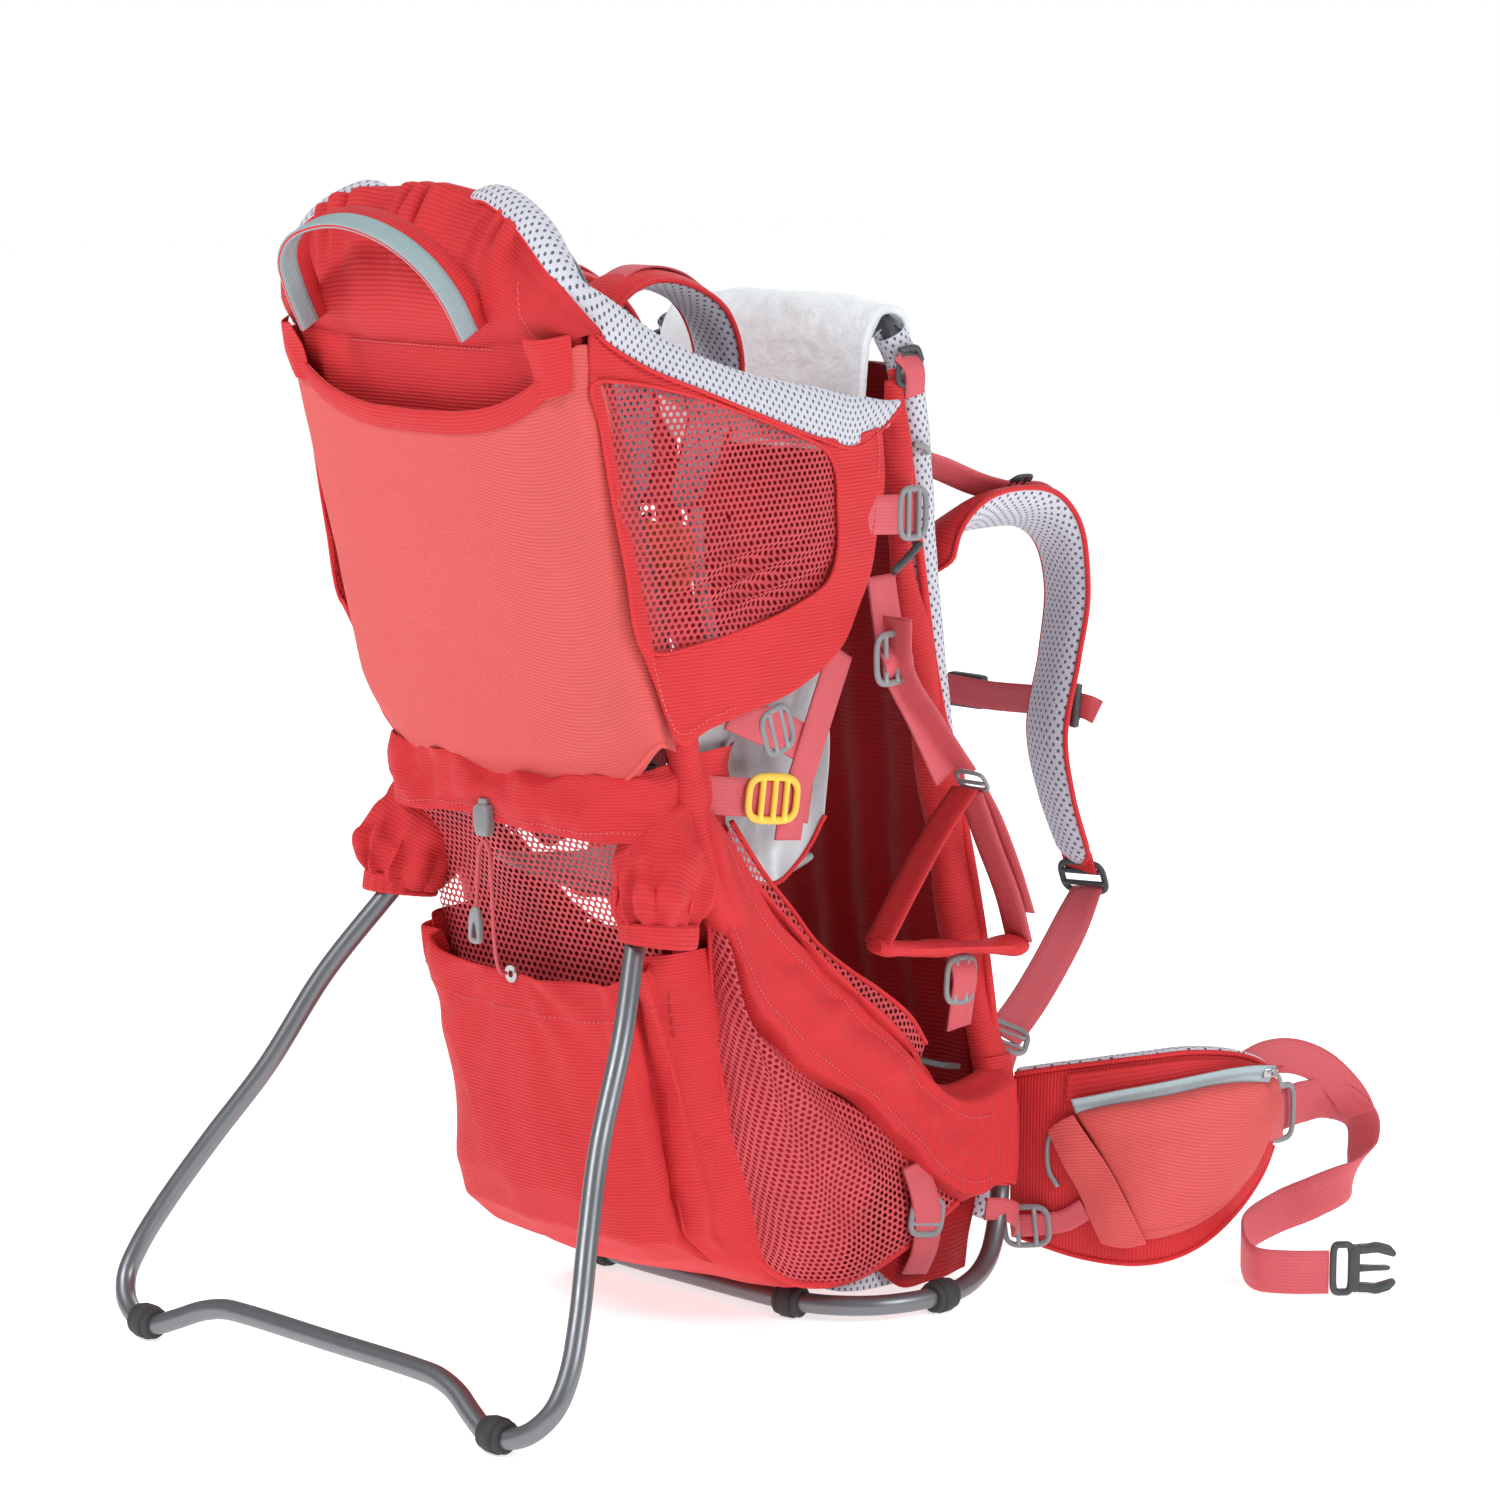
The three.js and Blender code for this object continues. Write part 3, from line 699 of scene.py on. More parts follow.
BOW = [(0, 322, 11), (60, 322.5, 11), (88, 325, 11), (114, 335, 11), (137, 358, 11), (148, 395, 11),
    (146, 428, 12), (135, 462, 22), (122, 486, 50), (115, 496, 90)]
UPRIGHT = [(114.5, 497, 92), (110, 498, 125), (104, 486, 180), (100, 468, 255), (100, 455, 330),
    (100, 445, 390), (100, 434, 456), (100, 426, 534), (100, 417, 600)]
TOP_BAR = [(0, 411, 637), (58, 411, 637), (84, 412, 633), (98, 414.5, 618), (100, 417, 601)]
SEAT_TUBE = [(128, 487, 106), (126, 440, 117), (122, 395, 138), (119, 350, 172), (118, 295, 218),
    (118, 251, 262), (118, 222, 300), (118, 208, 332), (118, 204, 365), (118, 195.5, 400),
    (116, 163.6, 520), (113, 131.8, 640)]
HOOP = [(0, 106, 712), (60, 108, 709), (90, 114, 698), (107, 122, 676), (113, 131.8, 641)]
STAND = [(98, 208, 340), (98, 188, 309), (103, 180, 296), (118, 159, 266), (139, 129, 221),
    (156, 94, 163), (177, 65, 117), (195, 41, 76), (203, 26, 50), (203, 15, 32), (195, 8, 20),
    (184, 4.5, 13), (170, 2, 10), (156, 2.5, 11), (140, 6, 17), (121, 11, 25), (102, 13.5, 29.5),
    (82, 14, 30.5), (0, 14, 30.5)]


def make_frame():
    for name, half, node, body in (
            ("base_bow_tube", BOW, "frame_base_bow", "root"),
            ("top_bar_tube", TOP_BAR, "frame_top_bar", "root"),
            ("hoop_tube", HOOP, "headrest_hoop", "root"),
            ("stand_tube", STAND[::-1], "kickstand_tube", "kickstand")):
        piece = rod(name, both_sides(half), TUBE_R, TUBE, steps=360, body=body, up=(0, 0.3, 1))
        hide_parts(node)
    for here in SIDES:
        for name, path, node in (("upright_tube", UPRIGHT, "frame_upright"),
                ("seat_tube", SEAT_TUBE, "seat_frame")):
            piece = here.rod(name, path, TUBE_R, TUBE, steps=160, up=(1, 0, 0))
            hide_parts(f"{node}_{here.word}")


def make_foot(here, name, node, centre, along, body="root"):
    """A moulded rubber clip: two collars, a waist and a flat sole on the ground."""
    along = unit(np.array(along, float))
    across = unit(np.cross((0, 0, 1), along))
    profile = [(-9, 7.6), (-9, 9.2), (-8.2, 10), (-5.4, 10), (-4.6, 9.3), (-3.8, 11.1), (3.8, 11.1),
        (4.6, 9.3), (5.4, 10), (8.2, 10), (9, 9.2), (9, 7.6)]
    grid = []
    for distance, radius in profile:
        ring = []
        for angle in np.linspace(0, math.tau, 40, endpoint=False):
            point = (np.array(centre) + along * distance + radius * (math.cos(angle) * across
                + math.sin(angle) * np.array((0, 0, 1))))
            point[2] = max(point[2], 0.0)
            ring.append(point)
        grid.append(ring)
    foot = here.surface(name, grid, RUBBER, body=body, closed=True, caps=True)
    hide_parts(f"{node}_{here.word}")
    ear = centre + across * 10.4 + np.array((0, 0, 1.5))
    rod(f"{name}_{here.word}_ear", [ear - along * 5.5, ear + along * 5.5], 2.6, RUBBER, 12, 12,
        body=body, side=here.sign, curved=False)


def make_feet():
    for here in SIDES:
        make_foot(here, "bow_clip_rear", "base_foot_rear", (88, 325, 11), (1, 0.16, 0))
        make_foot(here, "bow_clip_side", "base_foot_side", (148.3, 402, 11), (0, 1, 0))
        make_foot(here, "stand_clip", "kickstand_foot", (166, 2.5, 11), (1, 0, 0), "kickstand")
    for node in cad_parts:
        if node.startswith("pivot_bracket"):
            repaint(node, DARK)
        if node.startswith("pivot_bolt"):
            repaint(node, STEEL)


def repaint(node, paint):
    """Gives a CAD node that stays in view its finished material."""
    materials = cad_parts[node].data.materials
    materials.clear()
    materials.append(paint.material)


# ------------------------------------------------------------------ draw cord of the bag's mouth
CORD_ROUTE = [          # in metres, in the row frame
    (0, -0.215, 0.237), (0.0003, -0.2195, 0.238), (0.0002, -0.2225, 0.244),
    (0, -0.225, 0.262), (0, -0.2262, 0.285), (-0.0006, -0.2268, 0.305),
    (-0.0016, -0.227, 0.316), (-0.006, -0.227, 0.322), (-0.0104, -0.227, 0.316),
    (-0.0116, -0.2272, 0.304), (-0.0124, -0.2276, 0.291), (-0.013, -0.228, 0.279)]
CORD_DIAMETER = 0.0025


def make_draw_cord():
    route = np.array(CORD_ROUTE) / MM + (0, CENTRE_Y, 0)
    line = spline(route, 90)
    length = lengths(line)[-1] * MM
    cord = rod("draw_cord", route, CORD_DIAMETER / MM / 2, PINK, 12, 90)
    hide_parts("drawcord_tail")
    tab = make_pull_tab()
    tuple(CORD_ROUTE[0])
    [tuple(p) for p in place(line)]


def make_pull_tab():
    """A flat tapered tab with a three-cornered eye."""
    low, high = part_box("drawcord_pull_tab")
    middle = (low + high) / 2
    outline = [(-2.6, 11), (2.6, 11), (5, -9), (3.6, -11), (-3.6, -11), (-5, -9)]
    eye = [(0, 2.2), (0.8, 1.6), (2.4, -7), (1.6, -8), (-1.6, -8), (-2.4, -7), (-0.8, 1.6)]
    rim = spline([(x, 0, z) for x, z in outline], 42, closed=True)
    hole = spline([(x, 0, z) for x, z in eye], 42, closed=True)
    start = np.argmin(np.linalg.norm(hole - rim[0] * 0.3, axis=1))
    hole = np.roll(hole, -start, axis=0)
    if np.cross(rim[1] - rim[0], rim[0])[1] * np.cross(hole[1] - hole[0], hole[0])[1] < 0:
        hole = np.roll(hole[::-1], 1, axis=0)
    half = 1.9
    rings = [rim + (0, -half * 0.6, 0), rim * 0.94 + (0, -half, 0), hole * 1.12 + (0, -half, 0),
        hole + (0, -half * 0.6, 0), hole + (0, half * 0.6, 0), hole * 1.12 + (0, half, 0),
        rim * 0.94 + (0, half, 0), rim + (0, half * 0.6, 0)]
    grid = np.array(rings + rings[:1])
    shift = np.array(middle) / MM + (0, CENTRE_Y, 0)
    tab = surface("cord_pull_tab", grid + shift, GREY, closed=True)
    weld(tab)
    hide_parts("drawcord_pull_tab")
    return tab


def weld(piece, distance=1e-6):
    """Joins vertices that lie on each other, so that a wrapped grid is one closed body."""
    body = bmesh.new()
    body.from_mesh(piece.data)
    bmesh.ops.remove_doubles(body, verts=body.verts, dist=distance)
    bmesh.ops.recalc_face_normals(body, faces=body.faces)
    body.to_mesh(piece.data)
    body.free()


# ------------------------------------------------------------------ child's backrest, stash pocket
BACKREST_Y, BACKREST_Z, BACKREST_SLOPE = 165, 394, -0.257


def on_backrest(x, z, depth):
    """A point at height z, depth mm forward of the backrest's rear plane."""
    return np.stack(np.broadcast_arrays(x, BACKREST_Y + BACKREST_SLOPE * (z - BACKREST_Z) + depth,
        z), axis=-1)


# Plan of the stash pocket seen from above: x, then depth behind the backrest's plane.
POCKET_PLAN = [(-124, 30, 0), (-129, 17, 0), (-131, 5, 0), (-127, -5, 0), (-112, -11, 0),
    (-60, -18, 0), (0, -21, 0), (60, -18, 0), (112, -11, 0), (127, -5, 0), (131, 5, 0),
    (129, 17, 0), (124, 30, 0)]


def pocket_bottom(u):
    return 348 + 44 * np.abs(u) ** 3.5


def pocket_mouth(u):
    return 594 + 44 * np.abs(u) ** 3.2


def make_stash_pocket():
    plan = spline(POCKET_PLAN, 110)
    t, _ = shares(90, 110)
    x = np.broadcast_to(plan[:, 0], t.shape)
    share = x / 131
    z = pocket_bottom(share) * (1 - t) + pocket_mouth(share) * t
    stand_off = 0.35 + 0.65 * np.clip(t / 0.12, 0, 1) ** 0.6
    depth = np.where(plan[:, 1] < 10, (plan[:, 1] - 10) * stand_off + 10, plan[:, 1])
    depth = depth - 3.5 * t ** 6 * (1 - share ** 2)
    grid = on_backrest(x * (1 - 0.025 * (1 - np.clip(t / 0.08, 0, 1))), z, depth)
    grid = crumple(grid, 1.6, 90, 3)
    grid = crumple(grid, 0.5, 22, 5)
    panel = surface("stash_panel", grid, CORAL, thick=1.4, smooth=1)
    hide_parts("stash_pocket")

    hem_rows = np.stack([grid[84] * (1 - k) + grid[89] * k for k in np.linspace(0, 1, 14)])
    normals = rear_normals(hem_rows)
    swell = np.sin(np.linspace(0, math.pi, 14))[:, None, None] ** 0.5 * 1.4 + 1.2
    surface("stash_hem", (hem_rows + normals * swell)[:, 12:98], RED, thick=1.0, smooth=1)
    stitches("stash_hem_stitches", (hem_rows[1] + normals[1] * 1.3)[14:96])
    bottom = grid[1] + (0, -1.0, 0)
    rod("stash_bottom_piping", bottom[6:104], 1.5, CORAL, 10, 140)

    # the wall behind the mouth, up to the hood's seam
    t, _ = shares(40, 80)
    plan = spline(POCKET_PLAN, 80)
    x = np.broadcast_to(plan[:, 0] * 0.975, t.shape)
    z = 555 + (650 - 555) * t - 3 * (x / 131) ** 2 * t
    depth = np.broadcast_to(plan[:, 1], t.shape) * 0.6 + 5
    grid = crumple(on_backrest(x, z, depth), 3.5, 60, 11)
    surface("stash_back_wall", grid, RED, thick=1.2, smooth=1)
    seam = on_backrest(np.linspace(-66, 64, 60), 632.0, -8.5)
    seam[:, 1] = np.interp(seam[:, 0], grid[33, :, 0], grid[33, :, 1]) - 0.9
    stitches("hood_base_stitches", seam)
    # the pocket's folded corner
    for here in SIDES:
        fold = coons([(104, 94, 604), (116, 94, 606), (128, 102, 610)], [(106, 84, 642),
            (117, 86, 641), (130, 99, 644)], [(104, 94, 604), (104, 89, 624), (106, 84, 642)],
            [(128, 102, 610), (131, 100, 628), (130, 99, 644)], 24, 20)
        here.surface("stash_corner_fold", crumple(fold, 4, 24, 17), RED, thick=1.2, smooth=1)


# ------------------------------------------------------------------ hood and headrest
HOOD_RIDGE = [(-133, 117, 645), (-126, 103, 665), (-116, 95, 682), (-96, 93, 703), (-64, 97, 719),
    (0, 97, 727), (64, 97, 719), (96, 93, 703), (116, 95, 682), (126, 103, 665), (133, 117, 645)]


def make_hood():
    columns = 150
    ridge = spline(HOOD_RIDGE, columns)
    x = np.linspace(-129, 129, columns)
    base = on_backrest(x, 634 + 6 * (x / 129) ** 2, -12 * (1 - (x / 129) ** 2) + 2)
    t, u = shares(46, columns)
    grid = base[None] * (1 - t[..., None]) + ridge[None] * t[..., None]
    belly = np.sin(np.pi * t ** 0.8) * (1 - (2 * u - 1) ** 2) ** 0.7
    grid[..., 1] -= 20 * belly
    grid[..., 2] += 5 * belly * t
    # the ruche: folds that fan out from the ridge
    turn = (2 * u - 1) * 46
    fan = np.sin(turn + 2.2 * np.sin(turn * 0.31)) * np.clip((t - 0.42) / 0.4, 0, 1) ** 1.3
    fan = fan * (1 - np.clip((np.abs(2 * u - 1) - 0.62) / 0.25, 0, 1))
    normals = rear_normals(grid)
    grid = grid + normals * (fan * 3.0)[..., None]
    grid = crumple(grid, 9, 46, 23, (1.6, 1, 0.8), np.clip(t * 1.5, 0.25, 1))
    outer = np.clip((np.abs(ridge[:, :1]) - 45) / 25, 0, 1)
    over = ridge + (1 - outer) * (0, 11, 2) + outer * (0, 7, -7)
    lip = ridge + (1 - outer) * (0, 21, -7) + outer * (0, 12, -14)
    grid = np.concatenate([grid, over[None], lip[None]])
    hood = surface("hood_rear", grid, RED, thick=1.4, smooth=1)
    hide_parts("headrest_pad")
    # diagonal seams that run down from the ridge to the handle's ends
    for here in SIDES:
        j = [int(columns / 2 + here.sign * columns * f) for f in np.linspace(0.33, 0.4, 40)]
        i = [int(k) for k in np.linspace(4, 30, 40)]
        line = grid[i, j[::-1]] + (0, -1.0, 0)
        stitches(f"hood_seam_{here.word}", line)

    # the child's side of the headrest: a mesh pad inside the hoop
    t, u = shares(40, 60)
    ridge = spline(HOOD_RIDGE, 60) + (0, 12, -7)
    x = np.linspace(-100, 100, 60)
    base = on_backrest(x, 640, 44)
    grid = base[None] * (1 - t[..., None]) + ridge[None] * t[..., None]
    grid[..., 1] += 16 * np.sin(np.pi * t ** 0.7) * (1 - (2 * u - 1) ** 4)
    pad = surface("headrest_inner", crumple(grid, 2.5, 60, 29), WHITE_MESH, thick=3, smooth=1)


HANDLE = [(0, 40, 710), (41, 42, 702), (63, 51, 686), (71, 63, 667), (73, 76, 644)]


def make_handle():
    route = both_sides(HANDLE)
    across = (0, 1, 0.45)
    outer = ribbon("haul_handle_web", route, across, 25, 2.4, RED, 120)
    rear_route = [(x, y - 5.0, z - 2.2) for x, y, z in route]
    ribbon("haul_handle_tape", rear_route, across, 14, 3.4, GREY_TAPE, 120)
    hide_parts("haul_handle")


# ------------------------------------------------------------------ side wings
RIM = [     # outer seam x, y, z, then the top of the roll, then its inner seam
    (36, 104, 719, 38, 109, 722, 40, 114, 716),
    (60, 97, 718, 62, 111, 726, 62, 132, 706),
    (96, 90, 702, 97, 106, 712, 92, 126, 692),
    (116, 92, 681, 117, 106, 690, 104, 126, 672),
    (126, 101, 664, 125, 110, 674, 108, 130, 655),
    (133, 116, 644, 129, 124, 664, 110, 140, 640),
    (138, 148, 624, 129, 158, 646, 112, 164, 618),
    (140, 197, 606, 130, 204, 624, 112, 208, 592),
    (140, 248, 588, 129, 254, 609, 112, 256, 576),
    (137, 300, 571, 128, 304, 600, 112, 304, 566),
    (133, 336, 564, 126, 344, 593, 112, 346, 566),
    (127, 366, 574, 122, 372, 588, 111, 374, 568),
    (122, 386, 585, 119, 389, 587, 110, 388, 572)]


def make_rim(here):
    stations, columns = 150, 26
    table = spline([row[3:6] + row[:3] + row[6:] for row in RIM], stations)
    top, outer, inner = table[:, :3], table[:, 3:6], table[:, 6:9]
    reach = 2 * top - (outer + inner) / 2
    t = np.linspace(0, 1, columns)[None, :, None]
    grid = ((1 - t) ** 2 * outer[:, None] + 2 * t * (1 - t) * reach[:, None] + t ** 2 * inner[:,
        None])
    along = lengths(top)
    wide = np.concatenate([np.zeros((stations, 1)), np.cumsum(np.linalg.norm(np.diff(grid, axis=1),
        axis=2), axis=1)], axis=1)
    uv = np.stack([np.broadcast_to(along[:, None], wide.shape), wide], axis=2)
    grid = crumple(grid, 2.0, 55, 31)
    roll = here.surface("rim_roll", grid, WHITE_MESH, thick=3, smooth=1, uv=uv)
    here.rod("rim_piping", outer + (1.2, 0, -0.5), 1.3, RED, 8, 150)


WINDOW = [(113, 614), (119, 590), (126, 552), (136, 505), (146, 461), (158, 452), (195, 455),
    (232, 461), (272, 470), (306, 484), (315, 502), (315, 528), (313, 551), (303, 564), (275, 576),
    (247, 586), (222, 594), (196, 602), (172, 608), (140, 614)]
WING_EDGE = [(112, 646), (119, 612), (130, 570), (146, 500), (165, 425), (178, 396), (205, 401),
    (240, 409), (285, 420), (326, 445), (348, 478), (360, 512), (366, 545), (366, 573), (336, 563),
    (300, 571), (248, 588), (197, 606), (166, 617), (133, 634)]


def wing_x(y, z):
    """The wing's outer face: nearly flat, drawn in at the front and bellied by the child's arm."""
    plain = np.interp(y, [90, 130, 200, 300, 350, 400], [129, 134, 138, 137, 131, 121])
    belly = 7 * np.exp(-((y - 225) / 75) ** 2 - ((z - 500) / 60) ** 2)
    return plain + belly


def on_wing(line, lift=0.0):
    line = np.asarray(line, float)
    y, z = line[..., 0], line[..., 1]
    return np.stack([wing_x(y, z) + lift, y, z], axis=-1)


def make_wing(here):
    count = 160
    loops = spline([(*a, 0, *b) for a, b in zip(WINDOW, WING_EDGE)], count, closed=True)
    inner, outer = loops[:, :2], loops[:, 3:5]
    t = np.linspace(0, 1, 14)[:, None, None]
    ring = on_wing(inner[None] * (1 - t) + outer[None] * t)
    uv = ring[..., 1:3].copy()
    ring = crumple(ring, 3.2, 48, 41, (1, 1, 1.4))
    body = here.surface("wing_panel", ring, RED, thick=1.6, closed=True, smooth=1, uv=uv)
    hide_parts(f"side_wing_{here.word}")
    hem = on_wing(inner, 1.4)
    here.rod("window_piping", np.vstack([hem, hem[:1]]), 1.3, RED, 8, 200)

    middle = np.array([215, 530.0])
    t = np.linspace(0.02, 1, 24)[:, None, None]
    net_flat = middle + (inner[None] - middle) * t
    net_grid = on_wing(net_flat, -0.8)
    sag = np.exp(-((net_flat[..., 0] - 235) / 60) ** 2 - ((net_flat[..., 1] - 490) / 24) ** 2)
    waves = np.sin(net_flat[..., 1] * 0.42 - net_flat[..., 0] * 0.1)
    net_grid[..., 0] += 3.0 * waves * sag
    net_grid = crumple(net_grid, 5, 50, 43)
    window = here.surface("wing_window", net_grid, WINDOW_NET, closed=True, uv=net_flat)
    for name, start, end in (("upper", 96, 118), ("lower", 34, 62)):
        line = on_wing(outer[start:end] * 0.86 + inner[start:end] * 0.14, 1.6)
        here.stitches(f"wing_stitches_{name}", line)


# ------------------------------------------------------------------ buckles
def join_pieces(name, pieces):
    """One piece from several that ride on the same body."""
    first = pieces[0]
    for piece in pieces:
        piece.select_set(True)
    with bpy.context.temp_override(active_object=first, object=first, selected_objects=pieces,
            selected_editable_objects=pieces):
        bpy.ops.object.join()
    first.select_set(False)
    first.name = name
    first.data.name = name
    return first


def rounded_ring(count, power, closed=False):
    """A rounded square, 2 across, as its two rows of coordinates."""
    angles = np.linspace(0, math.tau, count, endpoint=closed)
    c, s = np.cos(angles), np.sin(angles)
    return np.sign(c) * np.abs(c) ** power, np.sign(s) * np.abs(s) ** power


def loop_bar(name, centre, right, up, width, height, radius, paint, body="root", side=1, power=0.55,
        flat=0.75):
    """A closed round bar bent to a rounded rectangle."""
    a, b = rounded_ring(65, power, closed=True)
    line = np.array(centre) + a[:, None] * width / 2 * right + b[:, None] * height / 2 * up
    facing = np.cross(right, up)
    grid = ring_grid(line, radius, 12, up=facing, squash=flat)
    grid[-1] = grid[0]
    piece = surface(name, grid, paint, body=body, side=side, closed=True)
    weld(piece)
    return piece


def ladder_lock(name, centre, right, up, width, height, paint, bars=2, radius=2.0, body="root",
        side=1):
    """A flat adjuster: a rounded frame with cross bars for the webbing. right runs along the
    webbing and up along the bars."""
    right, up = unit(np.array(right, float)), np.array(up, float)
    up = unit(up - right * (up @ right))
    facing = np.cross(right, up)
    centre = np.array(centre, float)
    parts = [loop_bar(name, centre, right, up, width, height, radius, paint, body=body, side=side)]
    places = {1: (0.08,), 2: (-0.2, 0.2), 3: (-0.24, 0.02, 0.26)}[bars]
    for k, share in enumerate(places):
        middle = centre + right * width * share + facing * 0.5
        parts.append(rod(f"{name}_bar{k}", [middle - up * (height / 2 - 0.6),
            middle + up * (height / 2 - 0.6)], radius * 0.8, paint, 10, 10, body=body, side=side,
            curved=False))
    return join_pieces(name, parts)


# ------------------------------------------------------------------ bag, seat and side fabric
BAG_REAR = ([24, 38, 54, 74, 100, 150, 200, 244, 270], [300, 258, 214, 184, 176, 173, 169, 166,
    165])
BAG_FRONT = ([24, 60, 95, 170, 225, 244, 270], [372, 417, 426, 398, 330, 296, 286])
BAG_HALF = 106
SEAM_ANGLE = math.radians(14)      # the rear panel's side seams, from the bag's widest line


def bag_points(angle, z):
    """A point of the bag's skin. angle 0 is the wearer's right, a quarter turn the rear."""
    rear, front = np.interp(z, *BAG_REAR), np.interp(z, *BAG_FRONT)
    half = BAG_HALF * (0.98 + 0.02 * np.clip((z - 24) / 40, 0, 1))
    power = 0.52
    x = half * np.sign(np.cos(angle)) * np.abs(np.cos(angle)) ** power
    y = (rear + front) / 2 - (front
        - rear) / 2 * np.sign(np.sin(angle)) * np.abs(np.sin(angle)) ** power
    return np.stack(np.broadcast_arrays(x, y, z), axis=-1)


def bag_mouth(angle):
    return 237 + 24 * np.abs(np.cos(angle)) ** 3


def make_bag():
    rows, columns = 72, 120
    t, u = shares(rows, columns)
    angle = math.pi - SEAM_ANGLE + (2 * SEAM_ANGLE - math.pi) * u
    z = 24 + (bag_mouth(angle) - 24) * t
    grid = bag_points(angle, z)
    degrees = np.degrees(angle)
    pleats = np.zeros_like(z)
    for centre, lean, width, depth in ((25, 0.06, 3.6, 9), (34, 0.05, 3.0, -9), (45, 0.1, 4.5, 5),
            (154, -0.05, 3.6, 7), (146, -0.04, 3.0, -6)):
        pleats += depth * np.exp(-((degrees - centre - lean * (z - 150)) / width) ** 2)
    pleats *= np.clip((z - 45) / 60, 0, 1)
    # soft creases that hang from the grommet
    spread = np.arctan2(grid[..., 0], np.maximum(250 - z, 6))
    creases = 1.8 * np.sin(spread * 13) * np.exp(-((250 - z) / 110) ** 2)
    slack = 2.6 * np.sin(grid[..., 0] * 0.11 + z * 0.02) * np.clip((z - 205) / 40, 0, 1)
    normals = rear_normals(grid)
    grid = grid + normals * (pleats + creases + slack)[..., None]
    grid = crumple(grid, 5, 62, 51, (1, 1, 0.7))
    grid = crumple(grid, 2.6, 60, 52, (1, 1, 0.45), ridged=True)
    grid = crumple(grid, 0.9, 20, 53)
    under = grid[0] * (0.96, 1, 1)
    under[:, 1] = np.maximum(under[:, 1], 345)
    tucked = grid[-1] + (0, 5, -1.5)
    inside = grid[-1] * (0.97, 1, 1) + (0, 9, -16)
    skin = np.concatenate([under[None], grid, tucked[None], inside[None]])
    bag = surface("bag_rear_panel", skin, RED, thick=1.4, smooth=1)
    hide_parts("storage_bag")
    stitches("bag_mouth_stitches", (grid[-9] + normals[-9] * 1.0)[6:-6])

    t, u = shares(50, 60)
    angle = math.pi + SEAM_ANGLE + (math.pi - 2 * SEAM_ANGLE) * u
    z = 25 + (240 - 25) * t
    surface("bag_front_panel", crumple(bag_points(angle, z), 3, 60, 57), RED, thick=1.2, smooth=1)

    # the bag's own sides, between the rear panel's seams and the side nets
    t, u = shares(50, 24)
    for here in SIDES:
        angle = SEAM_ANGLE * (2.1 - 3.4 * u)
        z = 24 + (bag_mouth(0.0) - 26) * t
        swell = 3.0 * np.sin(np.pi * u) - 2.5 * (1 - u)
        gusset = bag_points(angle, z) + swell[..., None] * (1, 0, 0)
        here.surface("bag_gusset", crumple(gusset, 3, 40, 55), RED, thick=1.2, smooth=1)

    # see-through net that closes the opening over the mouth
    t, u = shares(40, 70)
    x = -104 + 208 * u
    y = 196 - 40 * t + 10 * np.sin(np.pi * t) + 10 * (x / 104) ** 2
    z = 205 + (345 - 205) * t
    grid = crumple(np.stack([x, y, z], axis=-1), 5, 60, 59)
    surface("bag_net_panel", grid, POCKET_NET)
    repaint("cord_grommet", STEEL)


BAND_TOP = [(121, 487, 146), (121, 444, 140), (119, 396, 167), (115, 350, 210), (112, 295, 263),
    (112, 251, 307), (112, 221, 342), (112, 206, 372), (112, 200, 396)]
BAND_LOW = [(120, 488, 60), (120, 445, 59), (117, 392, 105), (114, 350, 139), (112, 295, 177),
    (112, 253, 219), (113, 236, 261), (113, 226, 296), (113, 214, 336)]
LEG_EDGE = [(118, 236, 326), (120, 262, 290), (121, 285, 264), (122, 305, 240), (123, 330, 220),
    (123, 357, 202), (122, 385, 180), (118, 403, 158)]


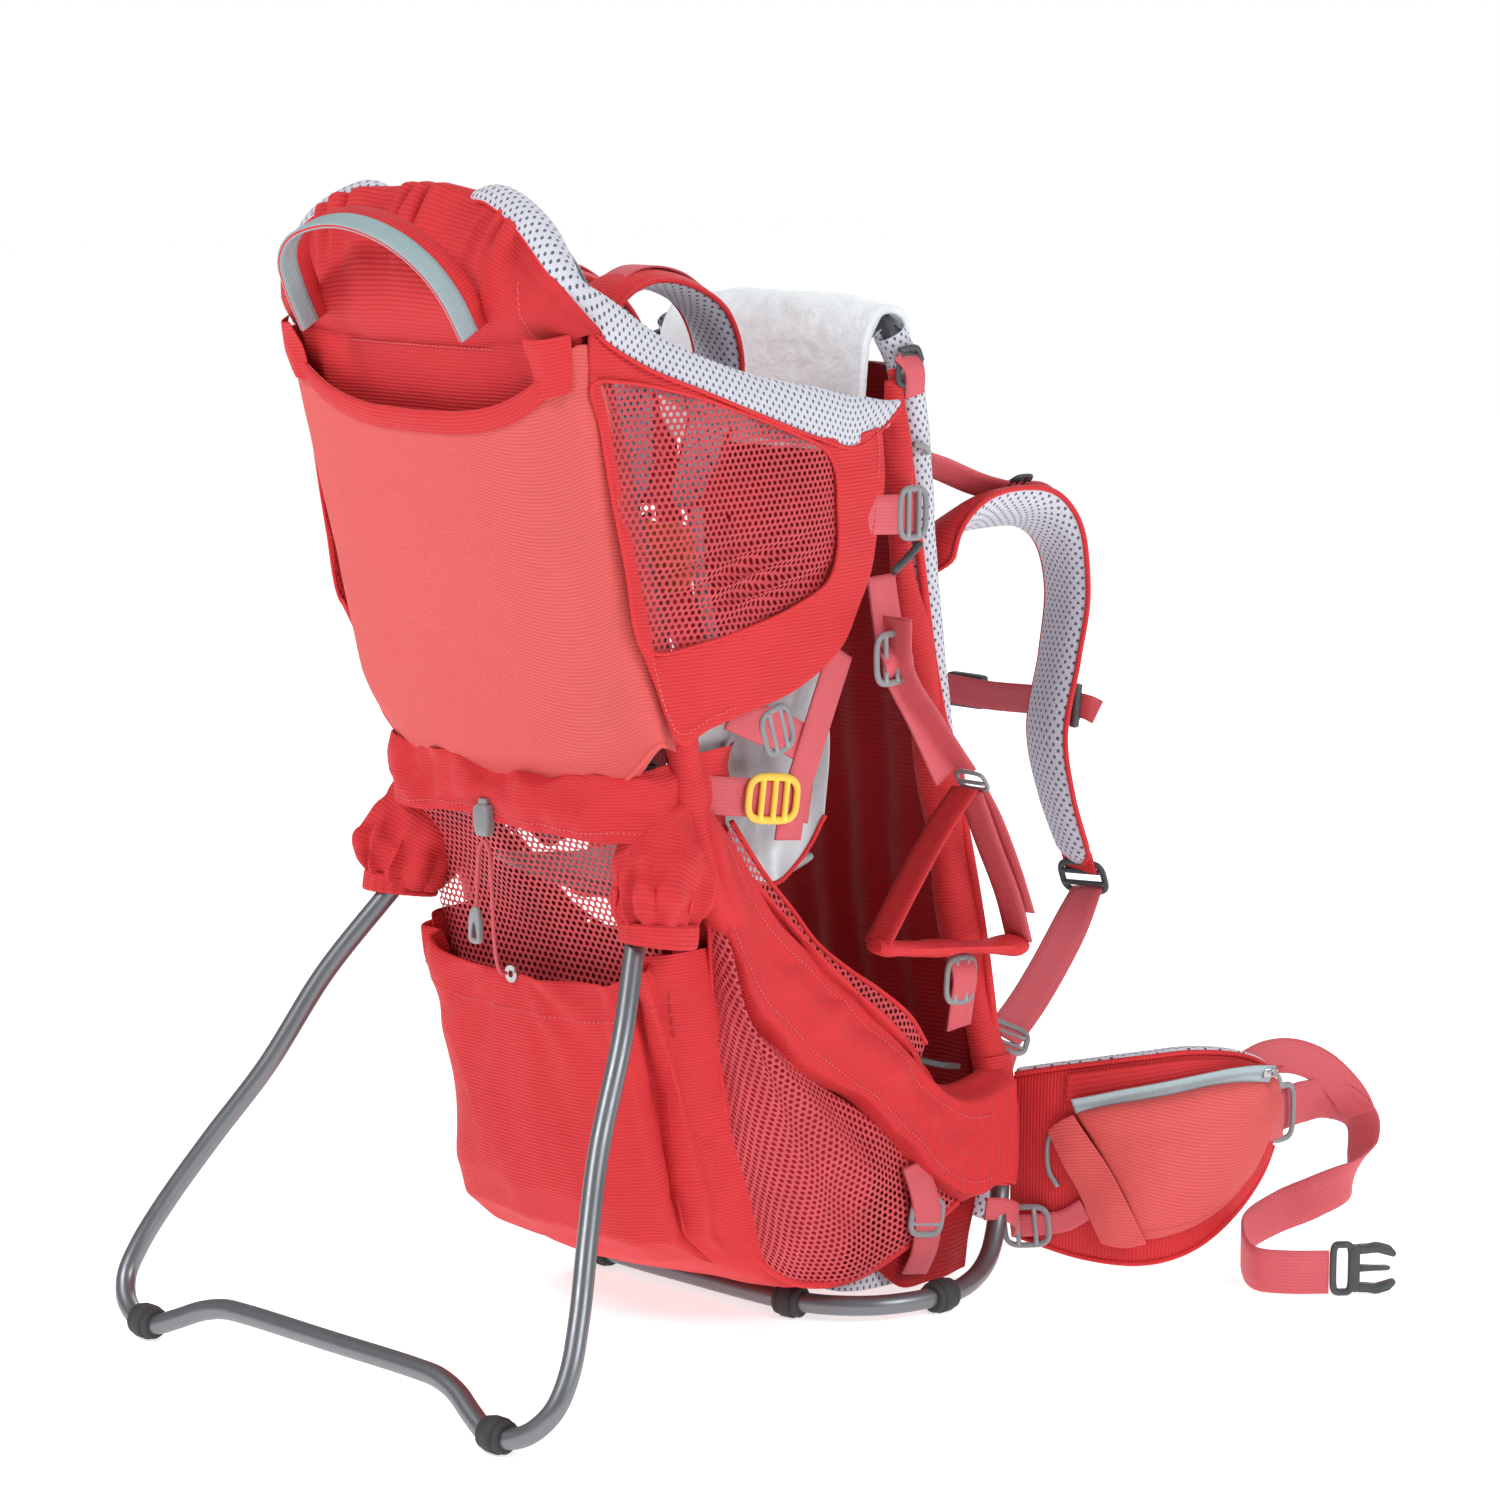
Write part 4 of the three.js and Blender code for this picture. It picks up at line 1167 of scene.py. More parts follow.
def make_side_band(here):
    """The gathered band over the seat tube, its cuff and the tunnel above it."""
    rows, columns = 110, 26
    top, low = spline(BAND_TOP, rows), spline(BAND_LOW, rows)
    t = np.linspace(0, 1, columns)[None, :, None]
    grid = low[:, None] * (1 - t) + top[:, None] * t
    swell = np.sin(np.pi * t[..., 0]) ** 0.75
    tube = np.interp(grid[..., 1], [204, 251, 395, 440, 487], [118, 118, 122, 126, 128])
    grid[..., 0] += (tube + 9.5 - grid[..., 0]) * swell
    folds = np.sin(t[..., 0] * 9 + np.linspace(0, 6, rows)[:, None]) * 1.6
    grid[..., 0] += folds * swell
    grid = crumple(grid, 8, 40, 61, (1, 0.55, 0.8))
    front = np.linspace(1, 0, rows)[:, None] ** 2
    grid = crumple(grid, 9, 40, 60, (1, 0.7, 0.7), front, ridged=True)
    grid = crumple(grid, 3.4, 42, 62, (1, 0.5, 1), ridged=True)
    grid = crumple(grid, 1.2, 17, 62, (1, 0.6, 1))
    grid[..., 0] = np.maximum(grid[..., 0], np.where(swell > 0.3, tube + 8.0, 0))
    back_top, back_low = grid[:, -1] * (0.93, 1, 1), grid[:, 0] * (0.93, 1, 1)
    grid = np.concatenate([back_low[:, None], grid, back_top[:, None]], axis=1)
    here.surface("side_band", grid, RED, thick=1.4, smooth=1)
    for name, column in (("upper", 20), ("lower", 6)):
        here.stitches(f"side_band_stitches_{name}", grid[6:-8, column] + (1.2, 0, 0))
    # cuff where the band wraps the upright's foot
    ring = ring_grid(spline([(112, 488, 150), (116, 488, 125), (118, 485, 98), (121, 479, 66)], 30),
        np.interp(np.linspace(0, 1, 30), [0, .2, .8, 1], [13, 15, 16, 13]), 36, up=(1, 0, 0),
        squash=0.8)
    here.surface("upright_cuff", crumple(ring, 3, 26, 63), RED, thick=1.4, closed=True, smooth=1)

    # fabric tunnel round the seat tube above the band
    tunnel = ring_grid(spline([(118, 240, 277), (118, 222, 300), (118, 208, 332), (118, 204, 365),
        (118, 196, 400)], 50), 11, 30, up=(1, 0, 0))
    here.surface("seat_tube_tunnel", crumple(tunnel, 5, 28, 64), RED, thick=1.2, closed=True,
        smooth=1)


def make_seat_side(here):
    """The seat's side wall under the leg opening, with its bound edge."""
    upper = spline(LEG_EDGE, 70)
    lower = spline([(116, 222, 338), (118, 262, 292), (120, 300, 256), (122, 350, 208),
        (124, 396, 166), (124, 425, 140)], 70)
    t = np.linspace(0, 1, 26)[None, :, None]
    wall = lower[:, None] * (1 - t) + upper[:, None] * t
    belly = np.sin(np.pi * t[..., 0]) ** 0.8 * np.sin(np.linspace(0.1, 3.0, 70))[:, None]
    wall[..., 0] += 13 * belly
    wall[..., 1] += 10 * np.linspace(0, 1, 70)[:, None] ** 2 * t[..., 0]
    here.surface("seat_side", crumple(wall, 7, 52, 65, (1, .7, .7)), RED, thick=1.4, smooth=1)
    edge = wall[:, -1]
    lip = edge + (-3, 9, 11)
    strip = np.stack([edge * (1 - k) + lip * k for k in np.linspace(0, 1, 8)], axis=1)
    here.surface("leg_edge_net", strip, POCKET_NET)
    here.rod("leg_edge_piping", edge + (0.8, 0, 0), 1.3, RED, 8)
    here.rod("leg_edge_binding", lip, 1.8, RED, 8)


def make_side_pocket(here):
    """The net pocket, and the red wall behind it that closes the bag's side."""
    seam = [(103, 278, 50), (104.5, 255, 117), (105, 243, 179), (106, 236, 224), (109, 231, 262),
        (113, 226, 296)]
    net_low = [(103, 278, 50), (110, 306, 31), (115, 350, 25), (118, 400, 38), (121, 446, 60)]
    patch = coons(net_low, [(113, 226, 296), (114, 227.5, 297), (115, 229, 298)], seam,
        [(121, 446, 60), (120, 392, 106), (118, 350, 140), (116, 295, 178), (115, 254, 220),
        (115, 239, 262), (115, 229, 298)], 70, 60)
    t, u = shares(70, 60)
    bulge = np.sin(np.pi * u) ** 0.8 * np.sin(np.pi * np.clip(t * 0.97 + 0.02, 0, 1)) ** 0.6
    fan = np.sin(u * 17 + 1.5 * np.sin(t * 4)) * bulge * (1 - t) ** 0.5
    patch[..., 0] += 17 * bulge + 3.2 * fan
    patch = crumple(patch, 4, 40, 67)
    pocket = here.surface("side_pocket_net", patch, POCKET_NET)
    here.rod("bag_side_piping", spline(seam, 60) + (1.4, 0, 0), 1.7, RED, 8, 100)
    edge_line = spline(net_low, 80)
    here.rod("bag_base_piping", edge_line + (0.5, 0, 0), 2.6, RED, 10, 100)
    # red wall behind the net, the bag's own side
    inner = coons([(98, 290, 40), (100, 350, 30), (104, 420, 60)], [(104, 210, 262),
        (104, 222, 262), (104, 232, 262)], [(98, 290, 40), (100, 250, 130), (104, 210, 262)],
        [(104, 420, 60), (104, 330, 150), (104, 232, 262)], 30, 30)
    inner = crumple(inner * (0.94, 1, 1), 4, 50, 69)
    here.surface("bag_side", inner, DARK_RED, thick=1.0)
    # the strip that joins that wall to the net's lower and front edges
    wall_edge = np.concatenate([resample(inner[0], 40), resample(inner[:, -1], 60)[1:]])
    net_edge = np.concatenate([resample(patch[0], 40), resample(patch[:, -1], 60)[1:]])
    t = np.linspace(0, 1, 8)[None, :, None]
    strip = wall_edge[:, None] * (1 - t) + (net_edge - (2.5, 0, 0))[:, None] * t
    here.surface("bag_side_rim", strip, DARK_RED, thick=1.0)


def make_base_end(here):
    """The base's red end panel under the band, and the mesh edge that shows below the net."""
    base = coons([(108, 386, 22), (113, 402, 9), (113, 438, 8), (111, 466, 10)], [(112, 392, 66),
        (115, 430, 64), (112, 474, 62)], [(108, 386, 22), (112, 392, 66)], [(111, 466, 10),
        (112, 474, 62)], 30, 40)
    here.surface("base_end_panel", crumple(base, 3, 30, 70), DARK_RED, thick=1.2, smooth=1)
    mesh_edge = coons([(98, 326, 24), (101, 360, 12), (103, 400, 9), (103, 436, 12)],
        [(98, 326, 30), (101, 370, 27), (103, 436, 32)], [(98, 326, 24), (98, 326, 30)],
        [(103, 436, 12), (103, 436, 32)], 20, 40)
    here.surface("base_mesh_edge", mesh_edge, WHITE_MESH, thick=2.0, smooth=1)


def make_lumbar_band():
    plan = spline([(-112, 252, 0), (-121, 220, 0), (-121, 190, 0), (-107, 169, 0), (-60, 157, 0),
        (0, 153, 0), (60, 157, 0), (107, 169, 0), (121, 190, 0), (121, 220, 0), (112, 252, 0)], 160)
    t, u = shares(34, 160)
    away = np.abs(2 * u - 1)
    low = 334 - 6 * away ** 2 - 10 * np.clip((away - 0.7) / 0.3, 0, 1)
    high = 372 + 14 * np.clip((away - 0.45) / 0.4, 0, 1)
    z = low + (high - low) * t
    x, y = np.broadcast_to(plan[:, 0], z.shape), np.broadcast_to(plan[:, 1], z.shape)
    grid = np.stack([x, y - 5 * np.sin(np.pi * t) - 3 * (1 - t), z], axis=-1)
    pucker = np.sin(u * 70 + 2 * np.sin(u * 19)) * (0.4 + t) * 1.3
    grid[..., 1] -= pucker * (away < 0.75)
    grid = crumple(grid, 9, 34, 71, (0.8, 0.8, 1.5))
    grid = crumple(grid, 3.4, 30, 72, (0.6, 0.6, 1.3), ridged=True)
    grid = crumple(grid, 2, 13, 73)
    lip = grid[0] * (0.985, 1, 1) + (0, 5, 3)
    skin = np.concatenate([lip[None], grid])
    surface("lumbar_band", skin, RED, thick=1.4, smooth=1)
    stitches("lumbar_band_stitches", grid[5, 8:-8] + (0, -1.2, 0))


def make_liner(here):
    patch = coons([(106, 226, 352), (109, 258, 318), (104, 290, 289), (108, 316, 300),
        (112, 330, 330)], [(116, 176, 404), (118, 230, 414), (116, 285, 426), (112, 336, 450)],
        [(106, 226, 352), (112, 200, 378), (116, 176, 404)], [(112, 330, 330), (112, 336, 390),
        (112, 336, 450)], 40, 60)
    t, u = shares(40, 60)
    patch[..., 0] -= 16 * np.sin(np.pi * u) * np.sin(np.pi * (0.15 + 0.85 * t))
    patch = crumple(patch, 9, 34, 81, (1, 1.3, 0.6))
    here.surface("seat_liner", patch, LINER, thick=0.8, smooth=1)
    here.rod("seat_liner_binding", patch[0] + (0.5, 0, 0), 1.6, RED, 8, 100)


def make_sleeve(here):
    path = spline([(102, 214, 350), (107, 200, 330), (114, 187, 308), (118, 181, 290),
        (120, 179, 279)], 60)
    share = np.linspace(0, 1, 60)
    radius = np.interp(share, [0, 0.15, 0.45, 0.75, 0.9, 1], [15, 24, 32, 34, 30, 24])
    grid = ring_grid(path, radius, 72, up=(1, 0, 0), squash=0.86)
    angle = np.arange(72) / 72 * math.tau
    swell = np.clip((share - 0.45) / 0.4, 0, 1)[:, None]
    gather = 1 + 0.12 * np.sin(11 * angle + 0.6 * np.sin(3 * angle))[None] * swell
    middle = path[:, None]
    grid = middle + (grid - middle) * gather[..., None]
    grid = crumple(grid, 9, 34, 91)
    grid = crumple(grid, 4, 26, 92, (1, 1, 0.5), ridged=True)
    grid = crumple(grid, 2, 15, 93)
    puff = here.surface("stand_sleeve", grid, RED, body=None, thick=1.4, closed=True, smooth=1)
    hem_path = spline([(119.6, 179, 283), (120, 178, 276), (120, 177, 270)], 12)
    hem_ring = ring_grid(hem_path, [23.5] + [25] * 10 + [24], 60, up=(1, 0, 0), squash=0.86)
    ripple = 1 + 0.035 * np.sin(20 * np.arange(60) / 60 * math.tau)
    hem_ring = hem_path[:, None] + (hem_ring - hem_path[:, None]) * ripple[None, :, None]
    hem = here.surface("stand_sleeve_hem", hem_ring, RED, body=None, thick=1.8, closed=True,
        smooth=1)
    rim = hem_ring[-1]
    opening = np.array((115, 167, 273)) + (rim - rim.mean(axis=0)) * 0.3
    lid_ring = np.stack([rim, (rim + opening) / 2 + (0, 0, 3), opening])
    lid = here.surface("stand_sleeve_gather", lid_ring, RED, body=None, thick=1.0, closed=True)
    pivot = place([(here.sign * 98, 200, 345)])[0]
    mouth = place([(here.sign * 112, 168, 279)])[0]
    for piece in (puff, hem, lid):
        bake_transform(piece)
        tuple(pivot)
        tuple(mouth)
    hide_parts(f"kickstand_sleeve_{here.word}")


def make_seat_pan():
    t, u = shares(30, 40)
    half = 92 - 30 * t
    x = (2 * u - 1) * half
    y = 228 + 144 * t
    z = 300 - 8 * np.sin(np.pi * t) - 10 * (1 - (2 * u - 1) ** 2)
    top = np.stack([x, y, z], axis=-1)
    pad = closed_pad("seat_pan_pad", top, 13, LINER)
    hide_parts("seat_pan")


def closed_pad(name, face, thick, paint, body="root", side=1, rim=0.25, smooth=1):
    """A closed crowned pad. face is a grid of points of its outer face, and its back lies thick
    mm behind that face. rim is how much of the thickness is left at the edges."""
    loop = pad_loop(face, thick, rim)
    return surface(name, loop, paint, body=body, side=side, closed=True, caps=True, smooth=smooth)


# ------------------------------------------------------------------ padding
def set_weave(piece, project):
    """Lays the weave map on a piece. project turns points in mm into u and v in mm."""
    mesh = piece.data
    points = np.empty(len(mesh.vertices) * 3)
    mesh.vertices.foreach_get("co", points)
    uv = project(points.reshape(-1, 3) / MM + (0, CENTRE_Y, 0)) * MM
    corner = np.empty(len(mesh.loops), int)
    mesh.loops.foreach_get("vertex_index", corner)
    layer = mesh.uv_layers.get("weave") or mesh.uv_layers.new(name="weave")
    layer.data.foreach_set("uv", uv[corner].astype(np.float32).ravel())


def inflate(piece, cap, project, voxel=5.0, pressure=4.0, frames=20):
    """Swells a closed pad by a short cloth simulation and keeps only the result. No point moves
    further than cap mm. project lays the weave map again after the remesh."""
    scene = bpy.context.scene
    remesh = piece.modifiers.new("remesh", "REMESH")
    remesh.mode, remesh.voxel_size = "VOXEL", voxel * MM
    bake_modifiers(piece)
    before = vertex_points(piece)
    cloth = piece.modifiers.new("cloth", "CLOTH")
    cloth.settings.use_pressure = True
    cloth.settings.uniform_pressure_force = pressure
    cloth.settings.effector_weights.gravity = 0
    cloth.settings.quality = 4
    cloth.point_cache.frame_start, cloth.point_cache.frame_end = 1, frames
    for number in range(1, frames + 1):
        scene.frame_set(number)
    after = vertex_points(piece)
    piece.modifiers.remove(cloth)
    scene.frame_set(1)
    move = after - before
    far = np.linalg.norm(move, axis=1, keepdims=True)
    move *= np.minimum(1, cap * MM / np.maximum(far, 1e-9))
    piece.data.vertices.foreach_set("co", (before + move).astype(np.float32).ravel())
    piece.data.polygons.foreach_set("use_smooth", [True] * len(piece.data.polygons))
    piece.data.update()
    set_weave(piece, project)
    divide = piece.modifiers.new("smooth", "SUBSURF")
    divide.levels = divide.render_levels = 1


def vertex_points(piece):
    """The places of a piece's vertices with its modifiers on, in metres."""
    mesh = piece.evaluated_get(bpy.context.evaluated_depsgraph_get()).data
    points = np.empty(len(mesh.vertices) * 3)
    mesh.vertices.foreach_get("co", points)
    return points.reshape(-1, 3)


def bake_modifiers(piece):
    graph = bpy.context.evaluated_depsgraph_get()
    mesh = bpy.data.meshes.new_from_object(piece.evaluated_get(graph))
    piece.modifiers.clear()
    piece.data = mesh


def flat_weave(points):
    return points[:, [0, 2]]


# ------------------------------------------------------------------ wearer's back
BACK_PROFILE = ([40, 90, 125, 180, 255, 330, 390, 456, 534, 600, 640], [497, 497, 496, 486, 468,
    455, 445, 434, 426, 417, 411])


def back_y(z):
    return np.interp(z, *BACK_PROFILE)


def make_back():
    t, u = shares(100, 70)
    x = 96 * (2 * u - 1)
    z = 70 + 540 * t
    folds = 3.2 * np.sin(x * 0.17 + 1.4 * np.sin(z * 0.011)) * (1 - (x / 96) ** 2)
    face = crumple(np.stack([x, back_y(z) - 7 + folds, z], axis=-1), 4, 60, 101)
    back = np.stack([x, back_y(z) + 6, z], axis=-1)
    loop = np.concatenate([face, back[:, ::-1]], axis=1)
    panel = surface("back_panel_pad", loop, DARK_RED, closed=True, caps=True, smooth=1)
    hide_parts("back_panel")

    # the wearer's side: spacer mesh over two padded columns and a lumbar roll
    t, u = shares(90, 60)
    x = 87 * (1 - 2 * u)
    z = 47 + 403 * t
    middle = np.exp(-(x / 15) ** 2) * (1 - np.exp(-((z - 120) / 30) ** 2))
    cross = np.exp(-((z - 205) / 7) ** 2) + np.exp(-((z - 335) / 7) ** 2)
    swell = 13 - 6.5 * middle - 4 * cross * (1 - middle)
    face = np.stack([x, back_y(z) + 7 + swell, z], axis=-1)
    pad = closed_pad("back_pad_mesh", face, 11, WHITE_MESH)
    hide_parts("back_mesh_pad")

    # rolled white edges and red bindings beside the uprights, and the uprights' fabric sleeves
    for here in SIDES:
        edge = [(97, 398, 630), (99, 408, 612), (99, 414, 590), (99, 419, 560), (99, 423, 522),
            (98, 428, 481), (98, 436, 425), (96, 446, 370), (93, 462, 310), (91, 476, 250),
            (90, 494, 180), (90, 503, 110), (89, 503, 50), (84, 500, 36)]
        roll = ring_grid(spline(edge, 130) + (1, 4, 0), 10.8, 28, up=(1, 0, 0), squash=1.0)
        here.surface("back_edge_roll", crumple(roll, 1.2, 30, 103), WHITE_MESH, closed=True)
        binding = [(104, 399, 606), (109, 409, 549), (111, 421, 470), (112, 428, 425),
            (113, 441, 370), (114, 461, 300), (115, 476, 235), (115, 488, 170), (115, 495, 119)]
        here.rod("upright_binding", binding, 3.0, RED, 10, 150)
        line = spline([(107, 396, 600), (108, 400, 540), (108, 406, 470), (107, 418, 425),
            (105, 434, 380), (104, 448, 330), (104, 464, 255), (106, 481, 180), (112, 492, 125),
            (117, 489, 90), (121, 482, 66)], 150)
        girth = np.interp(line[:, 2], [60, 180, 330, 400, 470, 600], [10.5, 12.5, 13.5, 11, 7, 6])
        ring = ring_grid(line, girth, 36, up=(1, 0, 0), squash=0.92)
        here.surface("upright_sleeve", crumple(ring, 7, 44, 105, (1, 1, 0.6)), RED,
            thick=1.4, closed=True, smooth=1)
    # the flap across the base, under the bag
    t, u = shares(20, 60)
    x = 112 * (2 * u - 1)
    y = 470 + 26 * t
    z = 56 + 22 * t + 6 * (x / 112) ** 2
    surface("base_flap", crumple(np.stack([x, y, z], axis=-1), 5, 50, 107), RED, thick=1.4,
        smooth=1)


# ------------------------------------------------------------------ shoulder harness
STRAP = [(75, 461, 470), (75, 473, 490), (75, 497, 503), (75, 530, 507), (75, 566, 503),
    (75, 592, 482), (75, 602, 446), (75, 595, 402), (75, 583, 352), (75, 592, 311), (75, 616, 259)]


def padded_strap(name, route, across, width, thick, faces, body="root", side=1, steps=110):
    """A crowned strap of two faces joined by a piped edge. faces are the outer and inner paints,
    and width may be one number or one per point of the route."""
    route, across = np.array(route, float), np.array(across, float)
    widths = np.broadcast_to(np.asarray(width, float), (len(route),))
    across = np.broadcast_to(across, (len(route), 3))
    table = spline(np.hstack([route, across, widths[:, None]]), steps)
    line, along = table[:, :3], directions(table)
    wide = square_to(along, table[:, 3:6])
    normal = np.cross(wide, along)
    reach = lengths(line)
    ends = np.clip(np.minimum(reach, reach[-1] - reach) / 12, 0.12, 1) ** 0.5
    a = np.linspace(-1, 1, 17)
    pieces = []
    for word, paint, sign in (("outer", faces[0], 1), ("inner", faces[1], -1)):
        crown = (1 - np.abs(a) ** 3.2)
        grid = (line[:, None] + wide[:, None] * (a[None, :, None] * table[:, 6][:, None,
            None] / 2 * np.minimum(1, ends * 1.1)[:, None, None]) + normal[:,
            None] * (sign * thick / 2 * crown)[None, :, None] * ends[:, None, None])
        uv = np.stack(np.broadcast_arrays(a[None] * table[:, 6][:, None] / 2, reach[:, None]),
            axis=2)
        if sign < 0:
            grid, uv = grid[:, ::-1], uv[:, ::-1]
        pieces.append(surface(f"{name}_{word}", grid, paint, body=body, side=side, thick=1.0,
            smooth=1, uv=uv))
    for word, sign in (("a", -1), ("b", 1)):
        edge = line + wide * (sign * table[:, 6] / 2 * np.minimum(1, ends * 1.1))[:, None]
        rod(f"{name}_piping_{word}", edge, 1.9, RED, 10, steps, body=body, side=side)
    return pieces


def make_shoulder_harness():
    body = "shoulder_harness"
    t, u = shares(40, 40)
    x = 74 * (1 - 2 * u)
    z = 466 + 93 * t
    face = np.stack([x, back_y(z) + 18, z], axis=-1)
    yoke = closed_pad("yoke_pad", face, 9, DARK_RED, body=body)
    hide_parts("shoulder_yoke")
    for here in SIDES:
        outer, inner = here.padded_strap("shoulder_pad", STRAP, [(1, 0, 0.2), (1, 0, 0.4),
            (1, 0, 0.6), (1, 0, 0.7), (1, -0.1, 0.55), (1, -0.2, 0.2), (1, -0.25, 0), (1, -0.3, 0),
            (1, -0.3, 0), (1, -0.3, 0), (1, -0.3, 0)], [46, 48, 50, 50, 50, 50, 49, 48, 47, 44, 34],
            15, (RED, WHITE_MESH), body=body)
        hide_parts(f"shoulder_strap_{here.word}")
        # webbing sewn along the outer face from the load lifter down
        here.ribbon("strap_web", [(74, 546, 517.5), (74, 572, 514), (75, 598, 494),
            (76, 610.5, 462), (77, 612, 440)], [(0.85, 0, 0.6), (0.85, -0.1, 0.5), (1, -0.2, 0.2),
            (1, -0.25, 0), (1, -0.3, 0)], 22, 1.6, PINK, body=body)
        here.ladder_lock("lifter_lock", (75, 545, 518.6), (0, 1, -0.02), (0.8, 0, 0.6), 18, 30,
            DARK, body=body)
        lifter = here.ribbon("load_lifter", [(78, 441, 546), (77, 470, 538), (76, 510, 524),
            (75, 543, 516)], (0.75, 0, 0.65), 20, 1.6, PINK, body=None)
        ends = place([(here.sign * 78, 445, 545), (here.sign * 75, 535, 518)])
        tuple(ends[0])
        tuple(ends[1])
        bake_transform(lifter)
        here.ribbon("lifter_anchor", [(78, 428, 551), (78, 447, 546)], (1, 0, 0), 22, 2.4, PINK, 12)
        # lower webbing, its lock and the tail that hangs from it
        lower = here.ribbon("lower_web", [(75, 627, 240), (86, 590, 210), (98, 543, 178),
            (107, 506, 159)], [(1, 0, 0), (0.6, 0.4, -0.25), (0.53, 0.47, -0.28),
            (0.53, 0.47, -0.28)], 25, 1.8, PINK, 80, body=None)
        ends = place([(here.sign * 105, 512, 160), (here.sign * 77, 622, 236)])
        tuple(ends[0])
        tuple(ends[1])
        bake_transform(lower)
        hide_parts(f"lower_webbing_{here.word}")
        here.ladder_lock("strap_lock", (75, 622, 247), (-0.05, 0.45, -1), (1, 0.2, 0), 24, 33, DARK,
            radius=2.4, body=body)
        here.ribbon("strap_end_tab", [(75, 614, 266), (75, 620, 251)], (1, 0, 0), 27, 2.4, RED, 10,
            body=body)
        here.ladder_lock("hip_web_lock", (107.5, 506, 159), (-0.3, 0.65, 0.6), (0.53, 0.47, -0.28),
            20, 32, GREY)
        here.ribbon("hip_web_anchor", [(114, 489, 141), (109, 502, 155)], (0.53, 0.47, -0.28), 25,
            2.2, PINK, 12)

    # chest strap: webbing, the buckle, rail clips and its loose tail
    webs = both_sides([(0, 607, 366), (45, 604, 368), (88, 601, 369)])
    web = ribbon("chest_web", webs, (0, 0, 1), 20, 1.6, PINK, 80, body=body)
    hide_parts("sternum_strap")
    make_chest_buckle(body)
    for here in SIDES:
        here.rod("chest_clip", [(86, 598, 355), (88, 599, 383)], 3.4, DARK, 12, 12, body=body,
            curved=False)
        here.ribbon("chest_tail", [(88, 601, 369), (95, 602, 368), (101, 605, 365)], (0, 0, 1), 17,
            1.6, PINK, 20, body=body)


BLOCK_SIDES = 32
BLOCK_PROFILE = ((-1, 0.55), (-0.96, 0.85), (-0.8, 1), (0.8, 1), (0.96, 0.85), (1, 0.55))


def rounded_block(name, centre, size, paint, body="root", side=1, turn=0.0, power=0.35):
    """A moulded block with soft edges, turned about z. Its rings run along its own y axis."""
    half = np.array(size, float) / 2
    a, b = rounded_ring(BLOCK_SIDES, power)
    c, s = math.cos(turn), math.sin(turn)
    grid = []
    for along, scale in BLOCK_PROFILE:
        x, y = half[0] * a * scale, half[1] * along
        z = half[2] * b * (1 - (1 - scale) * 0.4)
        grid.append(np.stack([x * c - y * s, x * s + y * c, z], axis=1) + centre)
    return surface(name, np.array(grid)[:, ::-1], paint, body=body, side=side, closed=True,
        caps=True)


def make_chest_buckle(body):
    centre = np.array((-24, 612, 366.5))
    socket = rounded_block("chest_buckle_socket", centre, (18, 34, 24), DARK, body=body)
    socket.data.transform(turned_about(centre, -math.pi / 2))
    thin_about(socket, centre, 0.42)
    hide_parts("sternum_buckle")


def turned_about(centre, angle):
    """A turn about the vertical through a point in mm."""
    from_origin = Vector(place([centre])[0])
    return (Matrix.Translation(from_origin) @ Matrix.Rotation(angle, 4,
        "Z") @ Matrix.Translation(-from_origin))


def thin_about(piece, centre, share):
    """Flattens a piece along y about a point in mm."""
    middle = place([centre])[0][1]
    for vertex in piece.data.vertices:
        vertex.co.y = middle + (vertex.co.y - middle) * share


# ------------------------------------------------------------------ hip belt
FIN_ROUTE = [(106, 515, 0), (130, 528, 0), (160, 546, 0), (188, 572, 0), (205, 610, 0),
    (211, 642, 0), (210, 665, 0)]
FIN_LENGTH = 190


def outline(stations, heights):
    """A smooth outline through heights in mm, as the two columns np.interp takes."""
    line = spline([(share * FIN_LENGTH, z, 0) for share, z in zip(stations, heights)], 90)
    return line[:, 0] / FIN_LENGTH, line[:, 1]


FIN_LOW = outline([0, 0.25, 0.46, 0.64, 0.8, 0.92, 1], [24, 11, 8, 17, 38, 62, 86])
FIN_HIGH = outline([0, 0.2, 0.45, 0.6, 0.8, 0.92, 1], [131, 139, 147, 149, 143, 132, 112])
POCKET_LOW = outline([0.24, 0.46, 0.6, 0.73, 0.82, 0.9, 0.94], [28, 26, 32, 47, 66, 92, 104])
POCKET_HIGH = outline([0.22, 0.4, 0.6, 0.8, 0.94], [110, 119, 126.5, 129, 124])
ZIP_OUT = outline([0.2, 0.4, 0.53, 0.65, 0.75, 0.85, 0.95], [14, 13.5, 13.5, 14.3, 15.5, 18.2,
    18.5])
FIN_STEPS = 200
FIN_LINE = spline(FIN_ROUTE, FIN_STEPS + 1)


def fin_point(t, z, out):
    """A point of the fin: a share of its length, a height, and mm outward from its middle."""
    spot = np.clip(t, 0, 1) * FIN_STEPS
    number = np.arange(FIN_STEPS + 1)
    x, y = np.interp(spot, number, FIN_LINE[:, 0]), np.interp(spot, number, FIN_LINE[:, 1])
    along = directions(FIN_LINE)
    ax, ay = np.interp(spot, number, along[:, 0]), np.interp(spot, number, along[:, 1])
    extra = (np.asarray(t) - np.clip(t, 0, 1)) * FIN_LENGTH
    return np.stack(np.broadcast_arrays(x + ay * out + ax * extra, y - ax * out + ay * extra, z),
        axis=-1)


